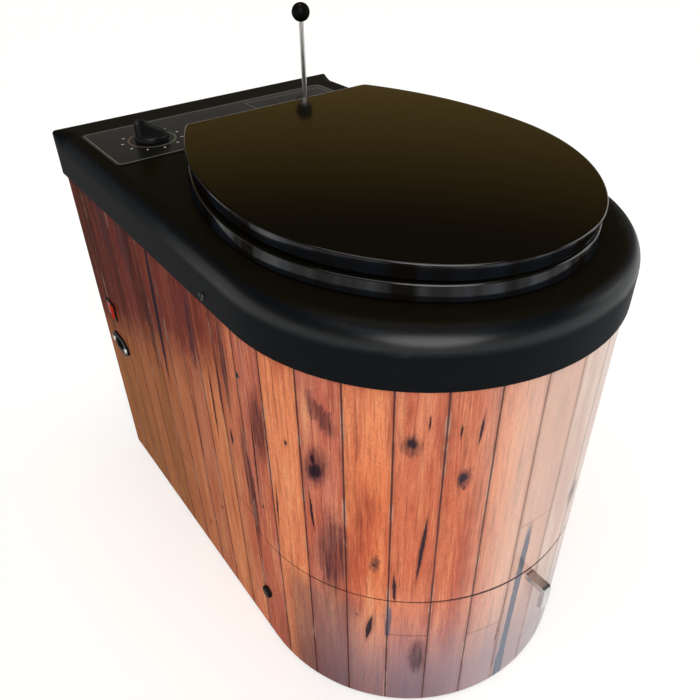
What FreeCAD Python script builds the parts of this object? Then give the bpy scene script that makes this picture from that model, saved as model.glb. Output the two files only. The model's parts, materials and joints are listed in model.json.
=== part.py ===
import FreeCAD, Part
import math
import os
import Sketcher

# Incinerating toilet. Frame: +Z up, -Y is the round front, origin on the floor under the axis
# of the round front. All lengths are in millimetres and all angles in degrees.

Vector = FreeCAD.Vector
Rotation = FreeCAD.Rotation
Placement = FreeCAD.Placement

SIZES = {
    # cabinet shell
    "cabinet_width": 386, "cabinet_straight": 425, "wrap_wall": 3, "wrap_ground_gap": 3, "wrap_lap": 24,
    "seam_height": 186, "seam_gap": 1.5, "seam_back": 18,
    "foot_height": 6, "foot_diameter": 36, "foot_inset": 45, "pan_sheet": 2, "pan_lip": 22,
    "pan_front_gap": 4, "panel_sheet": 3, "vent_length": 70, "vent_width": 6, "vent_pitch": 18,
    "vent_spread": 95, "vent_height": 90, "vent_count": 7,
    # top cover
    "deck_height": 502, "cover_depth": 52, "cover_wall": 3, "cover_clearance": 0.5,
    "shoulder_radius": 21, "shoulder_runout": 30, "shoulder_end_radius": 4,
    "cover_screw_rise": 9, "cover_screw_front": 52, "cover_screw_spread": 120,
    "screw_head_diameter": 8, "screw_head_height": 2.5, "screw_diameter": 4, "screw_reach": 9,
    # inner frame
    "side_bay": 38, "frame_sheet": 2, "frame_front": 100, "frame_rear_gap": 45, "frame_step": 26,
    "shelf_height": 160, "shelf_margin": 10, "bulkhead_drop": 5, "bulkhead_step_drop": 70,
    "deck_plate_thickness": 10, "deck_plate_inset": 18, "deck_plate_rear_gap": 25,
    "bracket_drop": 53, "bracket_back": 10, "bracket_size": 24, "wrap_screw_head": 6, "wrap_screw_rise": 1.2,
    # bowl
    "bowl_axis": 20, "bowl_wall": 2, "bowl_outlet_radius": 60, "bowl_rim_radius": 136,
    "bowl_flange_radius": 150, "bowl_throat": 16, "gasket_thickness": 3, "deck_hole_radius": 134,
    # burn chamber and trap flap
    "jacket_gap": 14, "chamber_wall": 3, "chamber_height": 183, "chamber_flange": 20,
    "jacket_thickness": 26, "jacket_height": 155, "fit_gap": 0.3, "running_gap": 0.05,
    "flap_thickness": 4, "flap_overlap": 6, "flap_gap": 0.8, "hinge_drop": 13, "flap_hub_radius": 7.5,
    "flap_hub_length": 120, "flap_shaft_diameter": 10, "bearing_diameter": 18, "bearing_length": 20,
    "element_inset": 12, "element_tube": 8, "element_pitch": 14, "element_height": 14,
    "element_gap_angle": 30, "element_tail": 52,
    "probe_rise": 88, "probe_diameter": 6, "probe_reach": 30, "probe_head": 12, "probe_head_length": 9,
    # trap linkage
    "rod_inset": 48, "rod_rear_gap": 87, "rod_diameter": 6, "rod_tail": 6, "clevis_size": 14,
    "lift_travel": 90, "flap_swing": 70, "link_arm": 40, "crank_plate": 4, "crank_gap": 9,
    "cross_pin_diameter": 6, "slot_play": 2.6, "crank_rim": 5.5, "link_width": 12, "link_gap": 1,
    "ball_diameter": 22, "ball_rise": 105, "ball_seat": 7, "bush_diameter": 16, "bush_flange": 24,
    "bush_flange_height": 2.2,
    # flue and draught fan
    "flue_radius": 37.5, "flue_wall": 2, "fan_rear_gap": 120, "fan_depth": 80,
    "scroll_radius": 66, "scroll_step": 5, "scroll_top": 105, "scroll_wall": 2,
    "impeller_radius": 56, "impeller_eye": 34, "impeller_plate": 3, "impeller_width": 52, "blade_count": 12,
    "blade_wall": 2, "impeller_hub_radius": 10, "fan_shaft_diameter": 8,
    "motor_radius": 38, "motor_length": 62, "elbow_radius": 50, "collar_length": 38, "collar_flange": 50,
    "collar_flange_thickness": 3, "collar_gap": 5, "catalyst_length": 40, "catalyst_gap": 20,
    "catalyst_hole": 9,
    # controls
    "label_left_inset": 19.5, "label_right_inset": 40.5, "label_rear_gap": 37, "label_depth": 118,
    "label_thickness": 0.8,
    "label_corner": 8, "timer_inset": 81.5, "timer_rear_gap": 100, "timer_size": 46, "timer_depth": 40,
    "timer_bush_radius": 5.5, "timer_bush_height": 4.2, "timer_shaft_diameter": 6, "knob_radius": 19,
    "knob_skirt": 6, "knob_taper": 2, "knob_grip_height": 18, "knob_grip_width": 9, "knob_grip_length": 35,
    "knob_gap": 0.3, "switch_rear_gap": 49, "switch_rise": 53, "switch_bezel_length": 28,
    "switch_bezel_width": 25, "bezel_thickness": 2, "switch_wall": 1.2, "switch_depth": 26,
    "rocker_length": 20, "rocker_throw": 18, "rocker_rise": 4, "rocker_pivot": 2,
    "rocker_pin": 3, "inlet_rear_gap": 54, "inlet_height": 224, "inlet_length": 52, "inlet_width": 26,
    "inlet_point": 9, "inlet_plate": 3, "inlet_body_length": 29, "inlet_depth": 30,
    "inlet_recess_length": 24, "inlet_recess_width": 16, "inlet_recess_depth": 17, "inlet_screw_spacing": 40,
    "pin_length": 12, "pin_width": 5, "pin_thickness": 2, "pin_spacing": 14,
    "box_rear_gap": 105, "box_length": 150, "box_bottom": 150, "box_height": 120, "box_depth": 32,
    # seat and lid
    "lid_inset": 26.5, "lid_front_inset": 32.5, "lid_widest": 34, "lid_nose_step": 24,
    "lid_rear_gap": 197, "lid_rear_width": 227, "lid_thickness": 15.5, "lid_tilt": 1.5, "lid_gap": 1,
    "edge_round": 3.4, "seat_corner": 8, "seat_thickness": 14.5,
    "seat_bumper": 1.5, "seat_hole_width": 220, "seat_hole_front": 110, "seat_hole_length": 270,
    "hinge_set_back": 15, "hinge_rise": 18, "hinge_pin_diameter": 8, "hinge_eye_radius": 8,
    "hinge_spread": 72, "post_width": 24, "post_depth": 20, "post_foot": 3, "eye_width": 18, "eye_gap": 1,
    "bumper_diameter": 14, "bumper_inset": 19, "bumper_front_depth": 0, "bumper_rear_side": 110,
    "bumper_rear_depth": 150, "lid_bumper_side": 125, "lid_bumper_front": 60,
    # ash drawer
    "runner_inset": 16, "runner_sheet": 3, "runner_flange": 22, "runner_height": 24, "runner_front": 125,
    "runner_back": 250, "runner_gap": 0.4, "tray_sheet": 2, "tray_back": 240,
    "tray_arm_depth": 20, "tray_wall_rise": 0.4, "tray_back_wall": 42, "pan_side_gap": 12.6,
    "pan_front": 100, "pan_back": 150, "pan_head_gap": 12.6, "pan_wall": 2, "pan_corner": 22, "pan_rim": 5,
    "handle_width": 10, "handle_reach": 25, "handle_drop": 30, "handle_seam_gap": 6, "handle_arm": 7,
    "handle_leg": 5, "handle_bend": 4, "stud_size": 15, "stud_height": 5, "stud_face": 0.6, "stud_back": 6,
    "stud_drop": 101, "stud_shank": 8,
}

doc = FreeCAD.newDocument("IncineratingToilet")
sheet = doc.addObject("Spreadsheet::Sheet", "dim")
for row, (alias, value) in enumerate(SIZES.items(), 1):
    sheet.set(f"A{row}", alias)
    sheet.set(f"B{row}", str(value))
    sheet.setAlias(f"B{row}", alias)
doc.recompute()

PAST = 2  # how far a cutting tool runs past the face that it cuts
NODES = []

# Shared levels and outlines, as expressions on the sheet
HALF = "(dim.cabinet_width / 2)"
INNER = f"({HALF} - dim.wrap_wall)"
BACK = "dim.cabinet_straight"
DECK = "dim.deck_height"
UNDER_DECK = f"({DECK} - dim.cover_wall)"
COVER_BOTTOM = f"({DECK} - dim.cover_depth)"
COVER_HALF = f"({HALF} + dim.cover_clearance + dim.cover_wall)"
COVER_BACK = f"({BACK} + dim.cover_clearance + dim.cover_wall)"
SKIRT_SCREW_Z = f"({COVER_BOTTOM} + dim.cover_screw_rise)"
WRAP_TOP = f"({COVER_BOTTOM} + dim.wrap_lap)"
BRACKET_Z = f"({COVER_BOTTOM} - dim.bracket_drop)"
PAN_TOP = "(dim.foot_height + dim.pan_sheet)"
FLANGE_TOP = f"({UNDER_DECK} - dim.gasket_thickness)"
PLATE_TOP = f"({FLANGE_TOP} - dim.bowl_wall)"
PLATE_BOTTOM = f"({PLATE_TOP} - dim.deck_plate_thickness)"
FRAME_HALF = f"({INNER} - dim.side_bay - dim.frame_sheet)"
FRAME_OUTER = f"({FRAME_HALF} + dim.frame_sheet)"
FRAME_BACK = f"({BACK} - dim.frame_rear_gap)"

# Burn chamber and trap flap
SHELF_TOP = "(dim.shelf_height + dim.frame_sheet)"
JACKET_OUTER = f"({FRAME_HALF} - dim.jacket_gap)"
CHAMBER_OUTER = f"({JACKET_OUTER} - dim.jacket_thickness)"
CHAMBER_RADIUS = f"({CHAMBER_OUTER} - dim.chamber_wall)"
CHAMBER_TOP = f"({SHELF_TOP} + dim.chamber_height)"
SHELF_BACK = f"(dim.bowl_axis + {CHAMBER_OUTER} + dim.chamber_flange + dim.shelf_margin)"
ELEMENT_RADIUS = f"({CHAMBER_RADIUS} - dim.element_inset)"
PROBE_Z = f"({SHELF_TOP} + dim.probe_rise)"
OUTLET_OUTER = "(dim.bowl_outlet_radius + dim.bowl_wall)"
FLAP_RADIUS = f"({OUTLET_OUTER} + dim.flap_overlap)"
FLAP_TOP = f"({CHAMBER_TOP} - dim.chamber_wall - dim.flap_gap)"
SHAFT_Z = f"({CHAMBER_TOP} - dim.hinge_drop)"
SHAFT_Y = f"(dim.bowl_axis + {FLAP_RADIUS})"

# Trap linkage
ROD_X = f"({FRAME_HALF} - dim.rod_inset)"
ROD_Y = f"({BACK} - dim.rod_rear_gap)"
BALL_Z = f"({DECK} + dim.ball_rise)"
ROD_TOP = f"({BALL_Z} - dim.ball_seat)"
CRANK_REACH = "(dim.lift_travel / 2 / tan(dim.flap_swing / 2))"
CRANK_Y = f"({ROD_Y} - {CRANK_REACH})"
CRANK_X = f"({ROD_X} + dim.crank_gap)"
LINK_X = f"({CRANK_X} + dim.crank_plate + dim.link_gap)"
LINK_END = f"({LINK_X} + dim.crank_plate)"
PIN_Z = f"({SHAFT_Z} - dim.lift_travel / 2)"
PIN_RADIUS = "(dim.cross_pin_diameter / 2)"
ARM_Y = "(dim.link_arm * sin(dim.flap_swing / 2))"
ARM_Z = "(dim.link_arm * cos(dim.flap_swing / 2))"

# Flue and draught fan
FLUE_BORE = "(dim.flue_radius - dim.flue_wall)"
FLUE_X = "((dim.scroll_radius + 3 * dim.scroll_step) / 2)"
FLUE_Z = f"({COVER_BOTTOM} - dim.collar_gap - dim.collar_flange)"
SCROLL_TOP = f"({FLUE_Z} - dim.elbow_radius)"
FAN_Z = f"({SCROLL_TOP} - dim.scroll_top)"
FAN_BACK = f"({BACK} - dim.fan_rear_gap)"
FAN_FRONT = f"({FAN_BACK} - dim.fan_depth)"
FAN_MID = f"({FAN_BACK} - dim.fan_depth / 2)"
BULKHEAD_TOP = f"({SCROLL_TOP} - dim.bulkhead_drop)"

# Controls
LABEL_TOP = f"({DECK} + dim.label_thickness)"
LABEL_BACK = f"({BACK} - dim.label_rear_gap)"
TIMER_X = f"(-({COVER_HALF} - dim.timer_inset))"
TIMER_Y = f"({BACK} - dim.timer_rear_gap)"
INLET_Y = f"({BACK} - dim.inlet_rear_gap)"
INLET_BODY_WIDTH = "(dim.inlet_width - 2 * dim.switch_wall)"
SWITCH_Y = f"({BACK} - dim.switch_rear_gap)"
SWITCH_Z = "(dim.inlet_height + dim.switch_rise)"
SWITCH_BODY_LENGTH = "(dim.switch_bezel_length - 3 * dim.switch_wall)"
SWITCH_BODY_WIDTH = "(dim.switch_bezel_width - 3 * dim.switch_wall)"
BOX_BACK = f"({BACK} - dim.box_rear_gap)"

# Seat, lid and ash drawer
LID_HALF = f"({COVER_HALF} - dim.lid_inset)"
LID_FRONT = f"({COVER_HALF} - dim.lid_front_inset)"
HINGE_Y = f"({BACK} - dim.lid_rear_gap + dim.hinge_set_back)"
HINGE_Z = f"({DECK} + dim.hinge_rise)"
SEAT_BOTTOM = f"({DECK} + dim.seat_bumper)"
SEAT_TOP = f"({SEAT_BOTTOM} + dim.seat_thickness)"
RUNNER_SIDE = f"({FRAME_HALF} - dim.runner_inset)"
RUNNER_TOP = f"({PAN_TOP} + dim.runner_sheet)"
TRAY_HALF = f"({RUNNER_SIDE} - dim.runner_sheet - dim.runner_gap)"
TRAY_BOTTOM = f"({RUNNER_TOP} + dim.runner_gap)"
TRAY_FLOOR = f"({TRAY_BOTTOM} + dim.tray_sheet)"
HANDLE_TOP = "(dim.seam_height - dim.handle_seam_gap)"
STUD_Z = "(dim.seam_height - dim.stud_drop)"
TRAY_TOP = f"({STUD_Z} + dim.tray_arm_depth / 2 + dim.tray_wall_rise)"


# Helpers

def number(text):
    """The value of an expression, as a plain number."""
    value = sheet.evalExpression(str(text))
    return float(getattr(value, "Value", value))


def bind(item, **expressions):
    for name, text in expressions.items():
        item.setExpression(name, str(text))
    return item


def place(item, x="0", y="0", z="0", turn=None):
    if turn is not None:
        item.Placement = Placement(Vector(), turn)
    for letter, text in zip("xyz", (x, y, z)):
        item.setExpression("Placement.Base." + letter, str(text))
    return item


def tilt(item, axis, angle):
    """Turn a piece about an axis through its own origin by an angle expression."""
    item.Placement = Placement(item.Placement.Base, Rotation(Vector(*axis), 0))
    item.setExpression("Placement.Rotation.Angle", str(angle))
    return item


def block(name, x, y, z):
    """A box between pairs of expressions (low, high)."""
    item = doc.addObject("Part::Box", name)
    bind(item, Length=f"({x[1]}) - ({x[0]})", Width=f"({y[1]}) - ({y[0]})", Height=f"({z[1]}) - ({z[0]})")
    return place(item, x[0], y[0], z[0])


TURNS = {"X": Rotation(Vector(0, 1, 0), 90), "Y": Rotation(Vector(1, 0, 0), -90), "Z": Rotation()}


def bar(name, axis, radius, span, u, v, end_radius=None):
    """A round bar or cone along X, Y or Z; u and v are its other two coordinates in X, Y, Z order."""
    kind = "Part::Cylinder" if end_radius is None else "Part::Cone"
    item = doc.addObject(kind, name)
    bind(item, Height=f"({span[1]}) - ({span[0]})")
    if end_radius is None:
        bind(item, Radius=radius)
    else:
        bind(item, Radius1=radius, Radius2=end_radius)
    start = {"X": (span[0], u, v), "Y": (u, span[0], v), "Z": (u, v, span[0])}[axis]
    return place(item, *start, turn=TURNS[axis])


def fuse(name, *shapes):
    item = doc.addObject("Part::MultiFuse", name)
    item.Shapes = list(shapes)
    return item


def common(name, *shapes):
    item = doc.addObject("Part::MultiCommon", name)
    item.Shapes = list(shapes)
    return item


def group(name, *solids):
    item = doc.addObject("Part::Compound", name)
    item.Links = list(solids)
    return item


def cut(name, base, *tools):
    item = doc.addObject("Part::Cut", name)
    item.Base = base
    item.Tool = tools[0] if len(tools) == 1 else fuse(name + "_tools", *tools)
    return item


def tube(name, axis, outer, bore, span, u, v):
    hole_span = (f"{span[0]} - {PAST}", f"{span[1]} + {PAST}")
    return cut(name, bar(name + "_outside", axis, outer, span, u, v),
               bar(name + "_bore", axis, bore, hole_span, u, v))


def outline(name, corners, owner=None):
    """A closed sketch. A corner is (x, y), or (x, y, centre x, centre y, turn) where an arc follows."""
    item = owner.newObject("Sketcher::SketchObject", name) if owner else doc.addObject(
        "Sketcher::SketchObject", name)
    points = [Vector(number(corner[0]), number(corner[1]), 0) for corner in corners]
    ends = []
    for index, corner in enumerate(corners):
        first, last = points[index], points[(index + 1) % len(points)]
        if len(corner) == 2:
            ends.append((item.addGeometry(Part.LineSegment(first, last)), 1, 2))
            continue
        centre = Vector(number(corner[2]), number(corner[3]), 0)
        left_turn = corner[4] > 0
        start, stop = (first, last) if left_turn else (last, first)
        angles = [math.atan2(p.y - centre.y, p.x - centre.x) for p in (start, stop)]
        circle = Part.Circle(centre, Vector(0, 0, 1), (first - centre).Length)
        arc = item.addGeometry(Part.ArcOfCircle(circle, angles[0], angles[1]))
        ends.append((arc, 1, 2) if left_turn else (arc, 2, 1))
    for index, (edge, start, stop) in enumerate(ends):
        following = ends[(index + 1) % len(ends)]
        item.addConstraint(Sketcher.Constraint("Coincident", edge, stop, following[0], following[1]))
    for corner, point, (edge, start, stop) in zip(corners, points, ends):
        pin_point(item, edge, start, "X", corner[0], point.x)
        pin_point(item, edge, start, "Y", corner[1], point.y)
    for index, corner in enumerate(corners):
        if len(corner) > 2:
            chord = points[(index + 1) % len(points)] - points[index]
            across = "X" if abs(chord.y) > abs(chord.x) else "Y"
            text = corner[2] if across == "X" else corner[3]
            pin_point(item, ends[index][0], 3, across, text, number(text))
    return item


def pin_point(item, edge, point, letter, text, value):
    """Hold one coordinate of a sketch point to an expression."""
    index = item.addConstraint(Sketcher.Constraint("Distance" + letter, -1, 1, edge, point, value))
    item.setExpression(f"Constraints[{index}]", str(text))


SKETCH_TURNS = {
    "Z": Rotation(),
    "X": Rotation(Vector(1, 1, 1), 120),
    "Y": Rotation(Vector(1, 0, 0), 90),
}


def prism(name, corners, span, axis="Z", at=("0", "0")):
    """An outline extruded along X, Y or Z. Along Y the sketch's own normal points to -Y."""
    profile = outline(name + "_outline", corners)
    start = span[1] if axis == "Y" else span[0]
    base = {"X": (start, at[0], at[1]), "Y": (at[0], start, at[1]), "Z": (at[0], at[1], start)}[axis]
    place(profile, *base, turn=SKETCH_TURNS[axis])
    item = doc.addObject("Part::Extrusion", name)
    item.Base = profile
    item.DirMode = "Normal"
    item.Solid = True
    return bind(item, LengthFwd=f"({span[1]}) - ({span[0]})")


def revolve(name, corners, x, y):
    """An outline of (radius, height) corners turned about a vertical axis."""
    profile = place(outline(name + "_outline", corners), x, y, "0", turn=SKETCH_TURNS["Y"])
    item = doc.addObject("Part::Revolution", name)
    item.Source = profile
    item.Axis = Vector(0, 0, 1)
    item.Angle = 360
    item.Solid = True
    item.setExpression("Base.x", str(x))
    item.setExpression("Base.y", str(y))
    return item


def mirrored(name, source):
    """The same piece on the other side of the middle plane."""
    item = doc.addObject("Part::Mirroring", name)
    item.Source = source
    item.Normal = Vector(1, 0, 0)
    return item


def pair(name, source):
    return group(name, source, mirrored(name + "_other", source))


def round_edges(name, base, choose, radius):
    """Fillet the edges that choose(edge) picks; it may give one radius or a pair for a run-out."""
    doc.recompute()
    edges = []
    for index, edge in enumerate(base.Shape.Edges, 1):
        picked = choose(edge)
        if picked:
            sizes = picked if isinstance(picked, tuple) else (radius, radius)
            edges.append((index, *sizes))
    item = doc.addObject("Part::Fillet", name)
    item.Base = base
    item.Edges = edges
    return item


def at_height(height):
    level = number(height)
    return lambda edge: abs(edge.BoundBox.ZMin - level) < 1e-4 and abs(edge.BoundBox.ZMax - level) < 1e-4


def upright(edge):
    box = edge.BoundBox
    return box.ZLength > 1 and box.XLength < 1e-4 and box.YLength < 1e-4


def node(item, label):
    item.Label = label
    NODES.append(item)
    return item


def d_outline(radius, back, split=None):
    """The cabinet's plan: a half round front and straight sides; split adds a corner on each side."""
    corners = [(radius, "0"), (radius, back), (f"-{radius}", back), (f"-{radius}", "0", "0", "0", 1)]
    if split:
        corners.insert(1, (radius, f"{back} - {split}"))
        corners.insert(4, (f"-{radius}", f"{back} - {split}"))
    return corners


def d_prism(name, radius, back, span, split=None):
    return prism(name, d_outline(radius, back, split), span)


# Cabinet shell

def screw(name, axis, side, face, u, v, head_size="dim.screw_head_diameter",
          head_rise="dim.screw_head_height"):
    """A pan-head screw whose head sits on a face; side is +1 or -1 along the axis."""
    head_end = f"{face} + {side} * {head_rise}"
    tip = f"{face} - {side} * dim.screw_reach"
    low, high = (face, head_end) if side > 0 else (head_end, face)
    head = bar(name + "_head", axis, f"{head_size} / 2", (low, high), u, v)
    low, high = (tip, face) if side > 0 else (face, tip)
    shank = bar(name + "_shank", axis, "dim.screw_diameter / 2", (low, high), u, v)
    return fuse(name, head, shank)


def side_hole(name, radius, y, z):
    """A round hole through the cabinet's left and right walls."""
    reach = f"{COVER_HALF} + {PAST}"
    return bar(name, "X", radius, (f"-({reach})", reach), y, z)


def left_window(name, length, width, y, z):
    """A rectangular hole through the left wall only."""
    return block(name, (f"-{HALF} - {PAST}", f"-{INNER} + {PAST}"),
                 (f"{y} - {length} / 2", f"{y} + {length} / 2"),
                 (f"{z} - {width} / 2", f"{z} + {width} / 2"))


def make_cabinet_wrap():
    outside = d_prism("wrap_outside", HALF, BACK, ("dim.wrap_ground_gap", WRAP_TOP))
    inside = d_prism("wrap_inside", INNER, f"{BACK} + {PAST}", (f"-{PAST}", f"{WRAP_TOP} + {PAST}"))
    drawer_space = block("wrap_drawer_space", (f"-{HALF} - {PAST}", f"{HALF} + {PAST}"),
                         (f"-{HALF} - {PAST}", "dim.seam_back"), (f"-{PAST}", "dim.seam_height"))
    windows = [
        left_window("wrap_switch_window", SWITCH_BODY_LENGTH, SWITCH_BODY_WIDTH,
                    SWITCH_Y, SWITCH_Z),
        left_window("wrap_inlet_window", "dim.inlet_body_length", INLET_BODY_WIDTH,
                    INLET_Y, "dim.inlet_height"),
        side_hole("wrap_bracket_hole", "dim.screw_diameter / 2", "dim.bracket_back", BRACKET_Z),
        side_hole("wrap_cover_hole", "dim.screw_diameter / 2", "dim.cover_screw_front", SKIRT_SCREW_Z),
    ]
    for side in (-1, 1):
        y = f"({INLET_Y} + {side} * dim.inlet_screw_spacing / 2)"
        windows.append(bar(f"wrap_inlet_hole_{side + 1}", "X", "dim.screw_diameter / 2",
                           (f"-{HALF} - {PAST}", f"-{INNER} + {PAST}"), y, "dim.inlet_height"))
    node(cut("cabinet_wrap_solid", outside, inside, drawer_space, *windows), "cabinet_wrap")


def origin_plane(body, role):
    return next(item for item in body.Origin.OriginFeatures if item.Role == role)


def body_sketch(body, name, corners, plane, offset="0"):
    sketch = outline(name, corners, owner=body)
    sketch.AttachmentSupport = [(origin_plane(body, plane), "")]
    sketch.MapMode = "FlatFace"
    sketch.setExpression("AttachmentOffset.Base.z", str(offset))
    return sketch


def rectangle(x, y):
    return [(x[0], y[0]), (x[1], y[0]), (x[1], y[1]), (x[0], y[1])]


def stadium(length, width, x="0", y="0"):
    """A slot with half round ends that runs along its first axis."""
    run = f"({length} - {width}) / 2"
    low, high = f"{y} - {width} / 2", f"{y} + {width} / 2"
    return [(f"{x} - {run}", low), (f"{x} + {run}", low, f"{x} + {run}", y, 1),
            (f"{x} + {run}", high), (f"{x} - {run}", high, f"{x} - {run}", y, 1)]


def circle_corners(radius, x="0", y="0"):
    return [(f"{x} + {radius}", y, x, y, 1), (f"{x} - {radius}", y, x, y, 1)]


def make_back_panel():
    """A flat rear sheet with two columns of vent slots and a hole for the flue."""
    body = doc.addObject("PartDesign::Body", "back_panel_body")
    sheet_sketch = body_sketch(body, "back_panel_outline",
                               rectangle((f"-{INNER}", INNER), ("dim.wrap_ground_gap", WRAP_TOP)),
                               "XZ_Plane", f"-{BACK}")
    pad = body.newObject("PartDesign::Pad", "back_panel_pad")
    pad.Profile = sheet_sketch
    bind(pad, Length="dim.panel_sheet")
    doc.recompute()
    vents = []
    for side in (-1, 1):
        slot = body_sketch(body, f"vent_outline_{side + 1}",
                           stadium("dim.vent_length", "dim.vent_width", f"{side} * dim.vent_spread",
                                   "dim.vent_height"), "XZ_Plane", f"-{BACK}")
        vents.append(add_pocket(body, f"vent_{side + 1}", slot))
    rows = body.newObject("PartDesign::LinearPattern", "vent_rows")
    rows.Originals = vents
    rows.Direction = (origin_plane(body, "Z_Axis"), [""])
    rows.Mode = "Spacing"
    bind(rows, Offset="dim.vent_pitch", Occurrences="dim.vent_count")
    body.Tip = rows
    doc.recompute()
    holes = [("flue_hole", circle_corners("dim.flue_radius", FLUE_X, FLUE_Z))]
    for side in (-1, 1):
        x = f"({side} * dim.cover_screw_spread)"
        holes.append((f"rear_screw_hole_{side + 1}",
                      circle_corners("dim.screw_diameter / 2", x, SKIRT_SCREW_Z)))
    for name, corners in holes:
        add_pocket(body, name, body_sketch(body, name + "_outline", corners, "XZ_Plane", f"-{BACK}"))
    node(body, "back_panel")


def add_pocket(body, name, sketch):
    """Cut a sketch on the rear face right through towards the front."""
    pocket = body.newObject("PartDesign::Pocket", name)
    pocket.Profile = sketch
    pocket.Type = "ThroughAll"
    pocket.Reversed = True
    doc.recompute()
    return pocket


def make_base():
    floor_span = ("dim.foot_height", PAN_TOP)
    front = d_prism("pan_front_floor", f"({INNER} - dim.pan_front_gap)", f"{BACK} - dim.panel_sheet",
                    floor_span)
    lip_y = ("dim.seam_back + dim.seam_gap", f"{BACK} - dim.panel_sheet")
    rear = block("pan_rear_floor", (f"-{INNER}", INNER), lip_y, floor_span)
    lip_z = ("dim.foot_height", "dim.foot_height + dim.pan_lip")
    left = block("pan_left_lip", (f"-{INNER}", f"-{INNER} + dim.pan_sheet"), lip_y, lip_z)
    right = block("pan_right_lip", (f"{INNER} - dim.pan_sheet", INNER), lip_y, lip_z)
    node(fuse("base_pan_solid", front, rear, left, right), "base_pan")
    spots = {"middle": ("0", "0")}
    for side in (-1, 1):
        spots[f"front_{side + 1}"] = (f"{side} * {INNER} / 2", f"-({INNER} / 2 - dim.foot_inset / 3)")
        spots[f"rear_{side + 1}"] = (f"{side} * ({INNER} - dim.foot_inset)", f"{BACK} - dim.foot_inset")
    feet = [bar(f"foot_{spot}", "Z", "dim.foot_diameter / 2", ("0", "dim.foot_height"), *at)
            for spot, at in spots.items()]
    node(group("rubber_feet_group", *feet), "rubber_feet")


def make_frame():
    """Two side plates, the chamber shelf and the fan bulkhead, folded and welded into one frame."""
    inner, outer = FRAME_HALF, FRAME_OUTER
    plates = []
    for side, x in (("left", (f"-{outer}", f"-{inner}")), ("right", (inner, outer))):
        plates.append(block(f"frame_{side}_upper", x, ("-dim.frame_front", FRAME_BACK),
                            ("dim.shelf_height", PLATE_BOTTOM)))
        plates.append(block(f"frame_{side}_leg", x, ("dim.frame_step", FRAME_BACK),
                            (PAN_TOP, "dim.shelf_height")))
    across = (f"-{inner}", inner)
    shelf = block("frame_shelf", across, ("-dim.frame_front", SHELF_BACK), ("dim.shelf_height", SHELF_TOP))
    shelf_hole = bar("frame_shelf_hole", "Z", CHAMBER_RADIUS, ("0", CHAMBER_TOP), "0", "dim.bowl_axis")
    plate_y = (FAN_BACK, f"{FAN_BACK} + dim.frame_sheet")
    bulkhead = block("frame_bulkhead", across, plate_y, (PAN_TOP, BULKHEAD_TOP))
    window_y = (f"{FAN_BACK} - {PAST}", f"{FAN_BACK} + dim.frame_sheet + {PAST}")
    crank_window = block("frame_crank_window", (f"{CRANK_X} - 2 * {PAST}", inner), window_y,
                         (f"{SHAFT_Z} - dim.bulkhead_step_drop", f"{BULKHEAD_TOP} + {PAST}"))
    motor_hole = bar("frame_motor_hole", "Y", "dim.motor_radius", window_y, "0", FAN_Z)
    solid = cut("inner_frame_solid", fuse("frame_sheets", *plates, shelf, bulkhead), shelf_hole,
                crank_window, motor_hole)
    node(solid, "inner_frame")
    plate = d_prism("deck_plate_outside", f"({INNER} - dim.deck_plate_inset)",
                    f"{BACK} - dim.deck_plate_rear_gap", (PLATE_BOTTOM, PLATE_TOP))
    tool_z = (f"{PLATE_BOTTOM} - {PAST}", f"{PLATE_TOP} + {PAST}")
    bowl_hole = bar("deck_plate_bowl_hole", "Z", "dim.bowl_rim_radius + dim.bowl_wall + dim.fit_gap", tool_z,
                    "0", "dim.bowl_axis")
    timer_room = f"(dim.timer_size / 2 + {PAST})"
    timer_window = block("deck_plate_timer_window",
                         (f"{TIMER_X} - {timer_room}", f"{TIMER_X} + {timer_room}"),
                         (f"{TIMER_Y} - {timer_room}", f"{TIMER_Y} + {timer_room}"), tool_z)
    rod_hole = bar("deck_plate_rod_hole", "Z", "dim.bush_diameter / 2", tool_z, ROD_X, ROD_Y)
    node(cut("deck_plate_solid", plate, bowl_hole, timer_window, rod_hole), "deck_plate")


def make_brackets():
    """A folded bracket on each side ties the wrap to the frame; its screw head shows outside."""
    half = "dim.bracket_size / 2"
    x = (FRAME_OUTER, INNER)
    y = (f"dim.bracket_back - {half}", f"dim.bracket_back + {half}")
    z = (f"{BRACKET_Z} - {half}", f"{BRACKET_Z} + {half}")
    wall = "dim.frame_sheet"
    hollow = block("bracket_hollow", (f"{x[0]} + {wall}", f"{x[1]} - {wall}"),
                   (f"{y[0]} + {wall}", f"{y[1]} - {wall}"), (f"{z[0]} - {PAST}", f"{z[1]} + {PAST}"))
    hole = bar("bracket_screw_hole", "X", "dim.screw_diameter / 2",
               (f"{x[1]} - {wall} - {PAST}", f"{x[1]} + {PAST}"), "dim.bracket_back", BRACKET_Z)
    bracket = cut("side_bracket", block("bracket_block", x, y, z), hollow, hole)
    node(pair("side_brackets_group", bracket), "side_brackets")
    wrap_screw = screw("wrap_screw", "X", 1, HALF, "dim.bracket_back", BRACKET_Z, "dim.wrap_screw_head",
                       "dim.wrap_screw_rise")
    node(pair("wrap_screws_group", wrap_screw), "wrap_screws")


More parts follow.
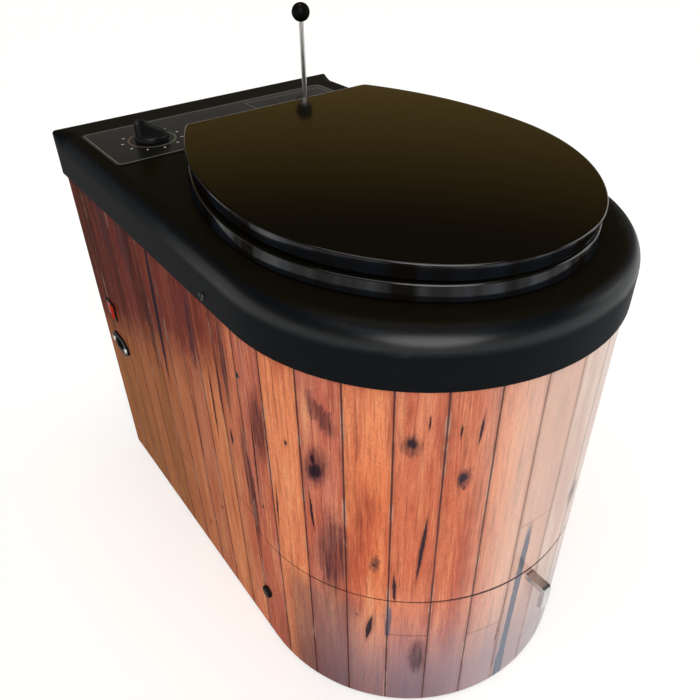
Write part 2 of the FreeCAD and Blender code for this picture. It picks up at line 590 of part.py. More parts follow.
def cover_form(name, inset, span):
    """The cover's moulded form: shoulders that run out to a near-square corner at the back."""
    radius = f"({COVER_HALF} - {inset})"
    back = f"({COVER_BACK} - {inset})"
    form = d_prism(name + "_block", radius, back, span, split="dim.shoulder_runout")
    big = number(f"dim.shoulder_radius - {inset}")
    small = number(f"max(dim.shoulder_end_radius - {inset}; 1)")
    top, rear = number(span[1]), number(back)

    def choose(edge):
        box = edge.BoundBox
        if abs(box.ZMin - top) > 1e-4 or abs(box.ZMax - top) > 1e-4 or abs(box.YMin - rear) < 1e-4:
            return None
        if abs(box.YMax - rear) < 1e-4:
            at_rear_first = abs(edge.valueAt(edge.FirstParameter).y - rear) < 1e-4
            return (small, big) if at_rear_first else (big, small)
        return (big, big)

    return round_edges(name, form, choose, big)


def make_top_cover():
    outside = cover_form("cover_outside", "0", (COVER_BOTTOM, DECK))
    inside = cover_form("cover_inside", "dim.cover_wall", (f"{COVER_BOTTOM} - {PAST}", UNDER_DECK))
    tool_z = (f"{UNDER_DECK} - {PAST}", f"{DECK} + {PAST}")
    bowl_hole = bar("cover_bowl_hole", "Z", "dim.deck_hole_radius", tool_z, "0", "dim.bowl_axis")
    timer_hole = bar("cover_timer_hole", "Z", "dim.timer_bush_radius", tool_z, TIMER_X, TIMER_Y)
    rod_hole = bar("cover_rod_hole", "Z", "dim.bush_diameter / 2", tool_z, ROD_X, ROD_Y)
    skirt_hole = side_hole("cover_skirt_hole", "dim.screw_diameter / 2", "dim.cover_screw_front",
                           SKIRT_SCREW_Z)
    rear_holes = []
    rear_screws = []
    for side in (-1, 1):
        x = f"({side} * dim.cover_screw_spread)"
        rear_holes.append(bar(f"cover_rear_hole_{side + 1}", "Y", "dim.screw_diameter / 2",
                              (f"{BACK} - {PAST}", f"{COVER_BACK} + {PAST}"), x, SKIRT_SCREW_Z))
        rear_screws.append(screw(f"cover_rear_screw_{side + 1}", "Y", 1, COVER_BACK, x, SKIRT_SCREW_Z))
    node(cut("top_cover_solid", outside, inside, bowl_hole, timer_hole, rod_hole, skirt_hole,
             *rear_holes), "top_cover")
    side_screw = screw("cover_side_screw", "X", 1, COVER_HALF, "dim.cover_screw_front", SKIRT_SCREW_Z)
    node(group("cover_screws_group", side_screw, mirrored("cover_side_screw_other", side_screw),
               *rear_screws), "cover_screws")


# Bowl, burn chamber and flue

def make_bowl():
    rim, outlet, wall = "dim.bowl_rim_radius", "dim.bowl_outlet_radius", "dim.bowl_wall"
    foot = CHAMBER_TOP
    throat = f"({foot} + dim.bowl_throat)"
    spread, rise = f"({rim} - {outlet})", f"({FLANGE_TOP} - {throat})"
    curve = f"(({spread} ^ 2 + {rise} ^ 2) / (2 * {spread}))"
    centre = (f"({rim} - {curve})", FLANGE_TOP)
    outer_low = f"({FLANGE_TOP} - sqrt(({curve} + {wall}) ^ 2 - ({outlet} + {wall} - {centre[0]}) ^ 2))"
    outer_high = f"({FLANGE_TOP} - {wall})"
    outer_reach = f"({centre[0]} + sqrt(({curve} + {wall}) ^ 2 - {wall} ^ 2))"
    corners = [
        (outlet, foot), (f"{outlet} + {wall}", foot),
        (f"{outlet} + {wall}", outer_low, *centre, 1),
        (outer_reach, outer_high), ("dim.bowl_flange_radius", outer_high),
        ("dim.bowl_flange_radius", FLANGE_TOP), (rim, FLANGE_TOP, *centre, -1),
        (outlet, throat),
    ]
    node(revolve("bowl_solid", corners, "0", "dim.bowl_axis"), "bowl")
    gasket = tube("bowl_gasket_solid", "Z", "dim.bowl_flange_radius", f"{rim} + {wall}",
                  (FLANGE_TOP, UNDER_DECK), "0", "dim.bowl_axis")
    node(gasket, "bowl_gasket")


def element_tail_y(side):
    return f"(dim.bowl_axis + {side} * {ELEMENT_RADIUS} * sin(dim.element_gap_angle / 2))"


def element_level(turn):
    return f"({SHELF_TOP} + dim.element_height + {turn} * dim.element_pitch)"


def chamber_holes(name):
    """The holes that the flue, probe and element tails need in the chamber and its jacket."""
    reach = f"{JACKET_OUTER} + {PAST}"
    holes = [bar(name + "_flue_hole", "Y", FLUE_BORE if name == "chamber" else "dim.flue_radius",
                 ("dim.bowl_axis", f"dim.bowl_axis + {reach}"), "0", FAN_Z),
             bar(name + "_probe_hole", "X", "dim.probe_diameter / 2", ("0", reach), "dim.bowl_axis",
                 PROBE_Z)]
    for turn in (0, 1):
        for side in (-1, 1):
            holes.append(bar(f"{name}_tail_hole_{turn}_{side + 1}", "X", "dim.element_tube / 2",
                             (f"-({reach})", "0"), element_tail_y(side), element_level(turn)))
    return holes


def make_chamber():
    at = ("0", "dim.bowl_axis")
    wall = tube("chamber_shell", "Z", CHAMBER_OUTER, CHAMBER_RADIUS, (SHELF_TOP, CHAMBER_TOP), *at)
    flange = tube("chamber_foot", "Z", f"{CHAMBER_OUTER} + dim.chamber_flange", CHAMBER_RADIUS,
                  (SHELF_TOP, f"{SHELF_TOP} + dim.chamber_wall"), *at)
    head = tube("chamber_head", "Z", CHAMBER_OUTER, f"{OUTLET_OUTER} - dim.bowl_wall",
                (f"{CHAMBER_TOP} - dim.chamber_wall", CHAMBER_TOP), *at)
    bearing_hole = bar("chamber_bearing_hole", "X", "dim.bearing_diameter / 2",
                       (f"-{CHAMBER_OUTER}", CHAMBER_OUTER), SHAFT_Y, SHAFT_Z)
    walls = fuse("chamber_walls", wall, flange, head)
    node(cut("burn_chamber_solid", walls, bearing_hole, *chamber_holes("chamber")), "burn_chamber")
    foot = f"({SHELF_TOP} + dim.chamber_wall)"
    jacket = tube("jacket_shell", "Z", JACKET_OUTER, CHAMBER_OUTER, (foot, f"{foot} + dim.jacket_height"),
                  *at)
    node(cut("insulation_jacket_solid", jacket, *chamber_holes("jacket")), "insulation_jacket")


def ball(name, radius, x, y, z):
    return place(bind(doc.addObject("Part::Sphere", name), Radius=radius), x, y, z)


def make_heater():
    """Two open rings of sheathed tube low in the chamber, with their tails out through the left wall."""
    rings = []
    end_x = f"({ELEMENT_RADIUS} * cos(dim.element_gap_angle / 2))"
    for turn in (0, 1):
        ring = doc.addObject("Part::Torus", f"element_ring_{turn}")
        bind(ring, Radius1=ELEMENT_RADIUS, Radius2="dim.element_tube / 2",
             Angle3="360 - dim.element_gap_angle")
        tilt(place(ring, "0", "dim.bowl_axis", element_level(turn)), (0, 0, 1),
             "180 + dim.element_gap_angle / 2")
        parts = [ring]
        for side in (-1, 1):
            at = (element_tail_y(side), element_level(turn))
            parts.append(bar(f"element_tail_{turn}_{side + 1}", "X", "dim.element_tube / 2",
                             (f"-{end_x} - dim.element_tail", f"-{end_x}"), *at))
            parts.append(ball(f"element_bend_{turn}_{side + 1}", "dim.element_tube * 0.56", f"-{end_x}",
                              *at))
        rings.append(fuse(f"element_turn_{turn}", *parts))
    node(group("heating_element_group", *rings), "heating_element")
    at = ("dim.bowl_axis", PROBE_Z)
    rod = bar("probe_rod", "X", "dim.probe_diameter / 2",
              (f"{CHAMBER_RADIUS} - dim.probe_reach", JACKET_OUTER), *at)
    head = bar("probe_head", "X", "dim.probe_head / 2",
               (JACKET_OUTER, f"{JACKET_OUTER} + dim.probe_head_length"), *at)
    node(fuse("temperature_probe_solid", rod, head), "temperature_probe")


def scroll_outline(inset, top):
    """A fan scroll of three quarter rounds of growing radius and a straight outlet going up."""
    step = "dim.scroll_step"
    first = f"(dim.scroll_radius - {inset})"
    second, third = f"({first} + {step})", f"({first} + 2 * {step})"
    right = f"({step} + {third})"
    return [("0", first, "0", "0", 1), (f"-{first}", "0", step, "0", 1), (step, f"-{second}", step, step, 1),
            (right, step), (right, f"{top} - {inset}"), (inset, f"{top} - {inset}"),
            (inset, f"{first} + {step} / 10")]


def make_flue():
    duct = tube("duct_tube", "Y", "dim.flue_radius", FLUE_BORE, ("dim.bowl_axis", FAN_FRONT), "0", FAN_Z)
    chamber = bar("duct_saddle", "Z", CHAMBER_OUTER, (SHELF_TOP, CHAMBER_TOP), "0", "dim.bowl_axis")
    node(cut("flue_duct_solid", duct, chamber), "flue_duct")
    catalyst_end = f"({FAN_FRONT} - dim.catalyst_gap)"
    span = (f"{catalyst_end} - dim.catalyst_length", catalyst_end)
    holes = []
    for ring, count in enumerate((1, 6, 12)):
        for index in range(count):
            angle = 360 * index / count
            reach = f"{ring} * {FLUE_BORE} * 0.36"
            holes.append(bar(f"catalyst_hole_{ring}_{index}", "Y", "dim.catalyst_hole / 2",
                             (f"{span[0]} - {PAST}", f"{span[1]} + {PAST}"), f"{reach} * cos({angle})",
                             f"{FAN_Z} + {reach} * sin({angle})"))
    core = bar("catalyst_core", "Y", FLUE_BORE, span, "0", FAN_Z)
    node(cut("catalyst_solid", core, *holes), "catalyst")
    at = ("0", FAN_Z)
    wall = "dim.scroll_wall"
    outside = prism("fan_housing_outside", scroll_outline("0", "dim.scroll_top"), (FAN_FRONT, FAN_BACK),
                    "Y", at)
    inside = prism("fan_housing_inside", scroll_outline(wall, "dim.scroll_top"),
                   (f"{FAN_FRONT} + {wall}", f"{FAN_BACK} - {wall}"), "Y", at)
    inlet = bar("fan_inlet", "Y", FLUE_BORE, (f"{FAN_FRONT} - {PAST}", FAN_MID), *at)
    outlet = bar("fan_outlet", "Z", FLUE_BORE,
                 (f"{SCROLL_TOP} - {wall} - {PAST}", f"{SCROLL_TOP} + {PAST}"), FLUE_X, FAN_MID)
    shaft_hole = bar("fan_shaft_hole", "Y", "dim.fan_shaft_diameter", (FAN_MID, f"{FAN_BACK} + {PAST}"), *at)
    node(cut("fan_housing_solid", outside, inside, inlet, outlet, shaft_hole), "fan_housing")
    shaft_front = f"({FAN_BACK} - {wall} - dim.impeller_plate * 2 - dim.impeller_width / 2)"
    shaft_back = f"({FAN_BACK} + dim.motor_length / 2)"
    motor = bar("motor_case", "Y", "dim.motor_radius", (FAN_BACK, f"{FAN_BACK} + dim.motor_length"), *at)
    cap_end = f"{FAN_BACK} + dim.motor_length + dim.motor_radius / 6"
    cap = bar("motor_cap", "Y", "dim.motor_radius / 2", (f"{FAN_BACK} + dim.motor_length", cap_end), *at)
    bore = bar("motor_bore", "Y", "dim.fan_shaft_diameter / 2 + dim.running_gap",
               (f"{FAN_BACK} - {PAST}", shaft_back), *at)
    node(cut("fan_motor_solid", fuse("motor_outside", motor, cap), bore), "fan_motor")
    node(bar("fan_shaft_solid", "Y", "dim.fan_shaft_diameter / 2", (shaft_front, shaft_back), *at),
         "fan_shaft")
    make_impeller(shaft_front)
    make_elbow()


def make_impeller(front):
    """A back plate and hub with a ring of swept blades, patterned about the shaft."""
    body = doc.addObject("PartDesign::Body", "fan_impeller_body")
    plate = body_sketch(body, "impeller_plate_outline", circle_corners("dim.impeller_radius"), "XZ_Plane")
    pads = [("impeller_plate", plate, "dim.impeller_plate")]
    tip, eye = "dim.impeller_radius", "dim.impeller_eye"
    outer_x, outer_y = f"({tip} * 0.86)", f"({tip} * 0.5)"
    across = f"({eye} + dim.blade_wall * 1.2)"
    blade = [(eye, "0"), (outer_x, outer_y),
             (f"{outer_x} + dim.blade_wall * 0.5", f"{outer_y} - dim.blade_wall"), (across, "0")]
    pads.append(("impeller_blade", body_sketch(body, "impeller_blade_outline", blade, "XZ_Plane"),
                 "dim.impeller_width"))
    hub = body_sketch(body, "impeller_hub_outline", circle_corners("dim.impeller_hub_radius"), "XZ_Plane")
    made = {}
    for name, sketch, length in pads:
        pad = body.newObject("PartDesign::Pad", name)
        pad.Profile = sketch
        bind(pad, Length=length)
        doc.recompute()
        made[name] = pad
    blades = body.newObject("PartDesign::PolarPattern", "impeller_blades")
    blades.Originals = [made["impeller_blade"]]
    blades.Axis = (origin_plane(body, "Y_Axis"), [""])
    blades.Angle = 360
    bind(blades, Occurrences="dim.blade_count")
    body.Tip = blades
    doc.recompute()
    pad = body.newObject("PartDesign::Pad", "impeller_hub")
    pad.Profile = hub
    bind(pad, Length="dim.impeller_width / 2")
    doc.recompute()
    bore = body.newObject("PartDesign::Pocket", "impeller_bore")
    bore.Profile = body_sketch(body, "impeller_bore_outline",
                               circle_corners("dim.fan_shaft_diameter / 2"), "XZ_Plane")
    bore.Type = "ThroughAll"
    bore.Reversed = True
    place(body, "0", f"{FAN_BACK} - dim.scroll_wall - dim.impeller_plate", FAN_Z)
    node(body, "fan_impeller")


def make_elbow():
    """A quarter bend from the top of the fan housing and a straight run through the rear panel."""
    middle = f"({FAN_MID} + dim.elbow_radius)"
    turn = Rotation(Vector(0, -1, 0), Vector(0, 0, 1), Vector(-1, 0, 0), "XYZ")
    walls = []
    for name, radius, end in (("elbow_outside", "dim.flue_radius", BACK),
                              ("elbow_bore", FLUE_BORE, f"{BACK} + {PAST}")):
        bend = doc.addObject("Part::Torus", name + "_bend")
        bind(bend, Radius1="dim.elbow_radius", Radius2=radius)
        bend.Angle3 = 90
        place(bend, FLUE_X, middle, SCROLL_TOP, turn=turn)
        run = bar(name + "_run", "Y", radius, (middle, end), FLUE_X, FLUE_Z)
        walls.append(fuse(name, bend, run))
    node(cut("flue_elbow_solid", *walls), "flue_elbow")
    at = (FLUE_X, FLUE_Z)
    spigot = bar("collar_spigot", "Y", "dim.flue_radius", (BACK, f"{BACK} + dim.collar_length"), *at)
    flange = bar("collar_flange", "Y", "dim.collar_flange",
                 (BACK, f"{BACK} + dim.collar_flange_thickness"), *at)
    bore = bar("collar_bore", "Y", FLUE_BORE,
               (f"{BACK} - {PAST}", f"{BACK} + dim.collar_length + {PAST}"), *at)
    node(cut("flue_collar_solid", fuse("collar_outside", spigot, flange), bore), "flue_collar")


# Trap flap and its linkage

def make_flap():
    plate = bar("flap_disc", "Z", FLAP_RADIUS, (f"{FLAP_TOP} - dim.flap_thickness", FLAP_TOP), "0",
                "dim.bowl_axis")
    half_hub = "dim.flap_hub_length / 2"
    hub = bar("flap_hub", "X", "dim.flap_hub_radius", (f"-{half_hub}", half_hub), SHAFT_Y, SHAFT_Z)
    web = block("flap_web", (f"-{half_hub} * 0.7", f"{half_hub} * 0.7"),
                (f"{SHAFT_Y} - {FLAP_RADIUS} / 2", SHAFT_Y),
                (f"{FLAP_TOP} - dim.flap_thickness * 1.5", f"{FLAP_TOP} - dim.flap_thickness / 2"))
    bore = bar("flap_bore", "X", "dim.flap_shaft_diameter / 2",
               (f"-{half_hub} - {PAST}", f"{half_hub} + {PAST}"), SHAFT_Y, SHAFT_Z)
    node(cut("flap_solid", fuse("flap_plate", plate, hub, web), bore), "flap")
    bearing_start = f"({CHAMBER_OUTER} * 0.7)"
    bearing_end = f"({bearing_start} + dim.bearing_length)"
    shaft = bar("flap_shaft_solid", "X", "dim.flap_shaft_diameter / 2",
                (f"-{bearing_end}", f"{CRANK_X} + dim.crank_plate"), SHAFT_Y, SHAFT_Z)
    node(shaft, "flap_shaft")
    bearing = tube("flap_bearing", "X", "dim.bearing_diameter / 2",
                   "dim.flap_shaft_diameter / 2 + dim.running_gap", (bearing_start, bearing_end), SHAFT_Y,
                   SHAFT_Z)
    node(pair("flap_bearings_group", bearing), "flap_bearings")


def crank_arm(name):
    """A crank arm of the link's throw that points along +Z, with the pin that carries the link."""
    half = "dim.link_width / 2"
    arm = block(name + "_bar", ("0", "dim.crank_plate"), (f"-{half}", half), ("0", "dim.link_arm"))
    eye = bar(name + "_eye", "X", half, ("0", "dim.crank_plate"), "0", "dim.link_arm")
    pin = bar(name + "_pin", "X", PIN_RADIUS, ("0", f"{LINK_END} + dim.link_gap - {CRANK_X}"), "0",
              "dim.link_arm")
    hub = bar(name + "_hub", "X", "dim.flap_shaft_diameter", ("0", "dim.crank_plate"), "0", "0")
    return [arm, eye, pin, hub]


def make_linkage():
    """Lift rod, bell crank, pull link and flap crank. The crank's slot takes up the rod's straight path."""
    bore_span = (f"-{PAST}", f"dim.crank_plate + {PAST}")
    shaft_bore = bar("flap_crank_bore", "X", "dim.flap_shaft_diameter / 2", bore_span, "0", "0")
    flap_crank = cut("flap_crank_solid", fuse("flap_crank_outside", *crank_arm("flap_crank")), shaft_bore)
    node(tilt(place(flap_crank, CRANK_X, SHAFT_Y, SHAFT_Z), (1, 0, 0), "-dim.flap_swing / 2"), "flap_crank")
    near = f"({CRANK_REACH} - dim.slot_play)"
    far = f"(sqrt({CRANK_REACH} ^ 2 + (dim.lift_travel / 2) ^ 2) + dim.slot_play)"
    slot_half = f"({PIN_RADIUS} + dim.slot_play)"
    arm_half = f"({slot_half} + dim.crank_rim)"
    slot_arm = prism("bell_crank_slot_arm",
                     [("0", f"-{arm_half}"), (far, f"-{arm_half}", far, "0", 1), (far, arm_half),
                      ("0", arm_half)], ("0", "dim.crank_plate"), "X")
    slot = prism("bell_crank_slot",
                 [(near, f"-{slot_half}"), (far, f"-{slot_half}", far, "0", 1), (far, slot_half),
                  (near, slot_half, near, "0", 1)], bore_span, "X")
    crank_bore = bar("bell_crank_bore", "X", "dim.flap_shaft_diameter / 2", bore_span, "0", "0")
    outside = fuse("bell_crank_outside", slot_arm, *crank_arm("bell_crank"))
    bell_crank = cut("bell_crank_solid", outside, slot, crank_bore)
    node(tilt(place(bell_crank, CRANK_X, CRANK_Y, SHAFT_Z), (1, 0, 0), "-dim.flap_swing / 2"), "bell_crank")
    bearing_start = f"({FRAME_HALF} - dim.bearing_length * 1.2)"
    shaft = bar("crank_shaft_solid", "X", "dim.flap_shaft_diameter / 2",
                (CRANK_X, f"{FRAME_HALF} - {PAST}"), CRANK_Y, SHAFT_Z)
    node(shaft, "crank_shaft")
    bearing = tube("crank_bearing_solid", "X", "dim.bearing_diameter / 2",
                   "dim.flap_shaft_diameter / 2 + dim.running_gap", (bearing_start, FRAME_HALF), CRANK_Y,
                   SHAFT_Z)
    node(bearing, "crank_bearing")
    half = "dim.link_width / 2"
    low, high = f"{SHAFT_Z} + {ARM_Z} - {half}", f"{SHAFT_Z} + {ARM_Z} + {half}"
    level = f"{SHAFT_Z} + {ARM_Z}"
    front, rear = f"{SHAFT_Y} + {ARM_Y}", f"{CRANK_Y} + {ARM_Y}"
    bar_solid = prism("pull_link_bar",
                      [(front, low), (rear, low, rear, level, 1), (rear, high),
                       (front, high, front, level, 1)], (LINK_X, LINK_END), "X")
    eyes = [bar(f"pull_link_eye_{index}", "X", f"{PIN_RADIUS} + dim.running_gap",
                (f"{LINK_X} - {PAST}", f"{LINK_END} + {PAST}"), y, level) for index,
            y in enumerate((front, rear))]
    node(cut("pull_link_solid", bar_solid, *eyes), "pull_link")


def make_lift_rod():
    at = (ROD_X, ROD_Y)
    radius = "dim.rod_diameter / 2"
    half = "dim.clevis_size / 2"
    node(bar("lift_rod_solid", "Z", radius, (f"{PIN_Z} - {half} - dim.rod_tail", ROD_TOP), *at), "lift_rod")
    knob = ball("ball_outside", "dim.ball_diameter / 2", *at, BALL_Z)
    knob_bore = bar("ball_bore", "Z", radius, (f"{BALL_Z} - dim.ball_diameter", ROD_TOP), *at)
    node(cut("ball_knob_solid", knob, knob_bore), "ball_knob")
    clevis = block("clevis", (f"{at[0]} - {half}", f"{at[0]} + {half}"),
                   (f"{at[1]} - {half}", f"{at[1]} + {half}"), (f"{PIN_Z} - {half}", f"{PIN_Z} + {half}"))
    pin = bar("cross_pin", "X", PIN_RADIUS,
              (f"{at[0]} + {half}", f"{CRANK_X} + dim.crank_plate + dim.link_gap"), at[1], PIN_Z)
    clevis_bore = bar("clevis_bore", "Z", radius,
                      (f"{PIN_Z} - dim.clevis_size", f"{PIN_Z} + dim.clevis_size"), *at)
    node(cut("rod_cross_pin_solid", fuse("cross_pin_outside", clevis, pin), clevis_bore), "rod_cross_pin")
    bush = bar("bush_barrel", "Z", "dim.bush_diameter / 2", (PLATE_BOTTOM, LABEL_TOP), *at)
    flange = bar("bush_flange_ring", "Z", "dim.bush_flange / 2",
                 (LABEL_TOP, f"{LABEL_TOP} + dim.bush_flange_height"), *at)
    bush_bore = bar("bush_bore", "Z", f"{radius} + dim.running_gap",
                    (f"{PLATE_BOTTOM} - {PAST}", f"{LABEL_TOP} + dim.bush_flange_height + {PAST}"), *at)
    node(cut("rod_bush_solid", fuse("bush_outside", bush, flange), bush_bore), "rod_bush")


# Controls

def rounded(x, y, radius):
    """A rectangle with rounded corners."""
    x0, x1, y0, y1 = (f"({text})" for text in (*x, *y))
    left, right = f"({x0} + {radius})", f"({x1} - {radius})"
    low, high = f"({y0} + {radius})", f"({y1} - {radius})"
    return [(left, y0), (right, y0, right, low, 1), (x1, low), (x1, high, right, high, 1),
            (right, y1), (left, y1, left, high, 1), (x0, high), (x0, low, left, low, 1)]


def make_timer():
    tool_z = (f"{DECK} - {PAST}", f"{LABEL_TOP} + {PAST}")
    at = (TIMER_X, TIMER_Y)
    label_x = (f"dim.label_left_inset - {COVER_HALF}", f"{COVER_HALF} - dim.label_right_inset")
    plate = prism("label_plate",
                  rounded(label_x, (f"{LABEL_BACK} - dim.label_depth", LABEL_BACK), "dim.label_corner"),
                  (DECK, LABEL_TOP))
    timer_hole = bar("label_timer_hole", "Z", "dim.timer_bush_radius", tool_z, *at)
    rod_hole = bar("label_rod_hole", "Z", "dim.bush_diameter / 2", tool_z, ROD_X, ROD_Y)
    node(cut("control_label_solid", plate, timer_hole, rod_hole), "control_label")
    half = "dim.timer_size / 2"
    case = block("timer_case", (f"{at[0]} - {half}", f"{at[0]} + {half}"),
                 (f"{at[1]} - {half}", f"{at[1]} + {half}"),
                 (f"{UNDER_DECK} - dim.timer_depth", UNDER_DECK))
    bush_top = f"({UNDER_DECK} + dim.timer_bush_height)"
    bush = bar("timer_bush", "Z", "dim.timer_bush_radius", (UNDER_DECK, bush_top), *at)
    shaft_low = f"({UNDER_DECK} - dim.timer_depth / 2)"
    radius = "dim.timer_shaft_diameter / 2"
    bore = bar("timer_bore", "Z", f"{radius} + dim.running_gap", (shaft_low, f"{bush_top} + {PAST}"), *at)
    node(cut("timer_body_solid", fuse("timer_outside", case, bush), bore), "timer_body")
    foot = f"({bush_top} + dim.knob_gap)"
    grip_foot = f"({foot} + dim.knob_skirt)"
    shaft_top = f"({grip_foot} + dim.knob_grip_height / 2)"
    node(bar("timer_shaft_solid", "Z", radius, (shaft_low, shaft_top), *at), "timer_shaft")
    skirt = bar("knob_skirt", "Z", "dim.knob_radius", (foot, grip_foot), *at,
                end_radius="dim.knob_radius - dim.knob_taper")
    grip = prism("knob_grip", stadium("dim.knob_grip_length", "dim.knob_grip_width", *at),
                 (f"{grip_foot} - dim.knob_skirt / 2", f"{grip_foot} + dim.knob_grip_height"))
    knob_bore = bar("knob_bore", "Z", radius, (f"{foot} - {PAST}", shaft_top), *at)
    node(cut("timer_knob_solid", fuse("knob_outside", skirt, grip), knob_bore), "timer_knob")


def make_switch():
    y, z = SWITCH_Y, SWITCH_Z
    face = f"(-{HALF} - dim.bezel_thickness)"

    def section(name, x, length, width):
        return block(name, x, (f"{y} - {length} / 2", f"{y} + {length} / 2"),
                     (f"{z} - {width} / 2", f"{z} + {width} / 2"))

    room_length = f"({SWITCH_BODY_LENGTH} - 2 * dim.switch_wall)"
    room_width = f"({SWITCH_BODY_WIDTH} - 2 * dim.switch_wall)"
    bezel = section("switch_bezel", (face, f"-{HALF}"), "dim.switch_bezel_length", "dim.switch_bezel_width")
    case = section("switch_case", (f"-{HALF}", f"-{HALF} + dim.switch_depth"), SWITCH_BODY_LENGTH,
                   SWITCH_BODY_WIDTH)
    room = section("switch_room", (f"{face} - {PAST}", f"-{HALF} + dim.switch_depth / 2"), room_length,
                   room_width)
    pivot_x = f"(-{HALF} + dim.rocker_pivot)"
    socket = bar("switch_pin_hole", "Z", "dim.rocker_pin / 2 + dim.running_gap",
                 (f"{z} - {SWITCH_BODY_WIDTH} / 2 - {PAST}", f"{z} + {SWITCH_BODY_WIDTH} / 2 + {PAST}"),
                 pivot_x, y)
    node(cut("switch_housing_solid", fuse("switch_outside", bezel, case), room, socket), "switch_housing")
    half = "(dim.rocker_length / 2)"
    rise = "dim.rocker_rise"
    end = f"({rise} + {half} * tan(dim.rocker_throw / 2))"
    width = f"({room_width} - 2 * dim.fit_gap)"
    corners = [(f"-{end}", f"-{half}"), (f"-{rise}", "0"), (f"-{end}", half), (f"-{rise} / 4", half),
               (rise, f"{half} * 0.4"), (rise, f"-{half} * 0.4"), (f"-{rise} / 4", f"-{half}")]
    paddle = prism("rocker_paddle", corners, (f"-{width} / 2", f"{width} / 2"))
    pin_reach = f"({width} / 2 + dim.switch_wall)"
    pin = bar("rocker_pin_bar", "Z", "dim.rocker_pin / 2", (f"-{pin_reach}", pin_reach), "0", "0")
    rocker = place(fuse("switch_rocker_solid", paddle, pin), pivot_x, y, z)
    node(tilt(rocker, (0, 0, 1), "-dim.rocker_throw / 2"), "switch_rocker")


def make_inlet():
    y, z = INLET_Y, "dim.inlet_height"
    face = f"(-{HALF} - dim.inlet_plate)"
    end, body, high, low = ("(dim.inlet_length / 2)", "(dim.inlet_body_length / 2)", "(dim.inlet_width / 2)",
                            "(dim.inlet_point / 2)")
    corners = []
    for side_y, side_z in ((-1, -1), (1, -1), (1, 1), (-1, 1)):
        tip = (f"{side_y} * {end}", f"{side_z} * {low}")
        shoulder = (f"{side_y} * {body}", f"{side_z} * {high}")
        corners += [tip, shoulder] if side_y * side_z > 0 else [shoulder, tip]
    plate = prism("inlet_plate_solid", corners, (face, f"-{HALF}"), "X", (y, z))
    case = block("inlet_case", (f"-{HALF}", f"-{HALF} + dim.inlet_depth"),
                 (f"{y} - {body}", f"{y} + {body}"),
                 (f"{z} - {INLET_BODY_WIDTH} / 2", f"{z} + {INLET_BODY_WIDTH} / 2"))
    room_y, room_z = "(dim.inlet_recess_length / 2)", "(dim.inlet_recess_width / 2)"
    recess = prism("inlet_recess",
                   [(f"-{room_y}", f"-{room_z}"), (room_y, f"-{room_z}"), (room_y, f"{room_z} / 2"),
                    (f"{room_y} - {room_z} / 2", room_z), (f"{room_z} / 2 - {room_y}", room_z),
                    (f"-{room_y}", f"{room_z} / 2")],
                   (f"{face} - {PAST}", f"{face} + dim.inlet_recess_depth"), "X", (y, z))
    holes = []
    screws = []
    for side in (-1, 1):
        screw_y = f"({y} + {side} * dim.inlet_screw_spacing / 2)"
        holes.append(bar(f"inlet_screw_hole_{side + 1}", "X", "dim.screw_diameter / 2",
                         (f"{face} - {PAST}", f"-{INNER} + {PAST}"), screw_y, z))
        screws.append(screw(f"inlet_screw_{side + 1}", "X", -1, face, screw_y, z))
    node(cut("power_inlet_solid", fuse("inlet_outside", plate, case), recess, *holes), "power_inlet")
    node(group("inlet_screws_group", *screws), "inlet_screws")
    floor = f"({face} + dim.inlet_recess_depth)"
    pins = []
    for index, (across, rise) in enumerate(((-1, -1), (1, -1), (0, 1))):
        mid_y, mid_z = f"{y} + {across} * dim.pin_spacing / 2", f"{z} + {rise} * dim.inlet_recess_width / 8"
        pins.append(block(f"inlet_pin_{index}", (f"{floor} - dim.pin_length", floor),
                          (f"{mid_y} - dim.pin_thickness / 2", f"{mid_y} + dim.pin_thickness / 2"),
                          (f"{mid_z} - dim.pin_width / 2", f"{mid_z} + dim.pin_width / 2")))
    node(group("inlet_pins_group", *pins), "inlet_pins")
    outer = FRAME_OUTER
    box = block("control_box_case", (f"-{outer} - dim.box_depth", f"-{outer}"),
                (f"{BOX_BACK} - dim.box_length", BOX_BACK),
                ("dim.box_bottom", "dim.box_bottom + dim.box_height"))
    gland = bar("control_box_gland", "Y", "dim.box_depth / 4", (BOX_BACK, f"{BOX_BACK} + dim.box_depth / 2"),
                f"-{outer} - dim.box_depth / 2", "dim.box_bottom + dim.box_height / 2")
    node(fuse("control_box_solid", box, gland), "control_box")


# Seat and lid

def seat_outline():
    """Egg-shaped front, then arcs that narrow to a straight rear edge; y runs from the hinge line."""
    half, rear = LID_HALF, "(dim.lid_rear_width / 2)"
    rear_y, side_y = "(-dim.hinge_set_back)", f"(dim.lid_widest - {HINGE_Y})"
    nose = f"({half} - dim.lid_nose_step)"
    nose_y = f"({nose} - {LID_FRONT} - {HINGE_Y})"
    # Each side arc touches the nose arc and runs straight back at the widest line
    drop = f"({side_y} - {nose_y})"
    side = f"({half} - dim.lid_nose_step / 2 + {drop} ^ 2 / (2 * dim.lid_nose_step))"
    share = f"({nose} / ({side} - {nose}))"
    join_x, join_y = f"({share} * ({side} - {half}))", f"({nose_y} - {share} * {drop})"
    inset, run = f"({half} - {rear})", f"({rear_y} - {side_y})"
    tail = f"(({inset} ^ 2 + {run} ^ 2) / (2 * {inset}))"
    return [(join_x, join_y, f"{half} - {side}", side_y, 1), (half, side_y, f"{half} - {tail}", side_y, 1),
            (rear, rear_y), (f"-{rear}", rear_y, f"{tail} - {half}", side_y, 1),
            (f"-{half}", side_y, f"{side} - {half}", side_y, 1), (f"-{join_x}", join_y, "0", nose_y, 1)]


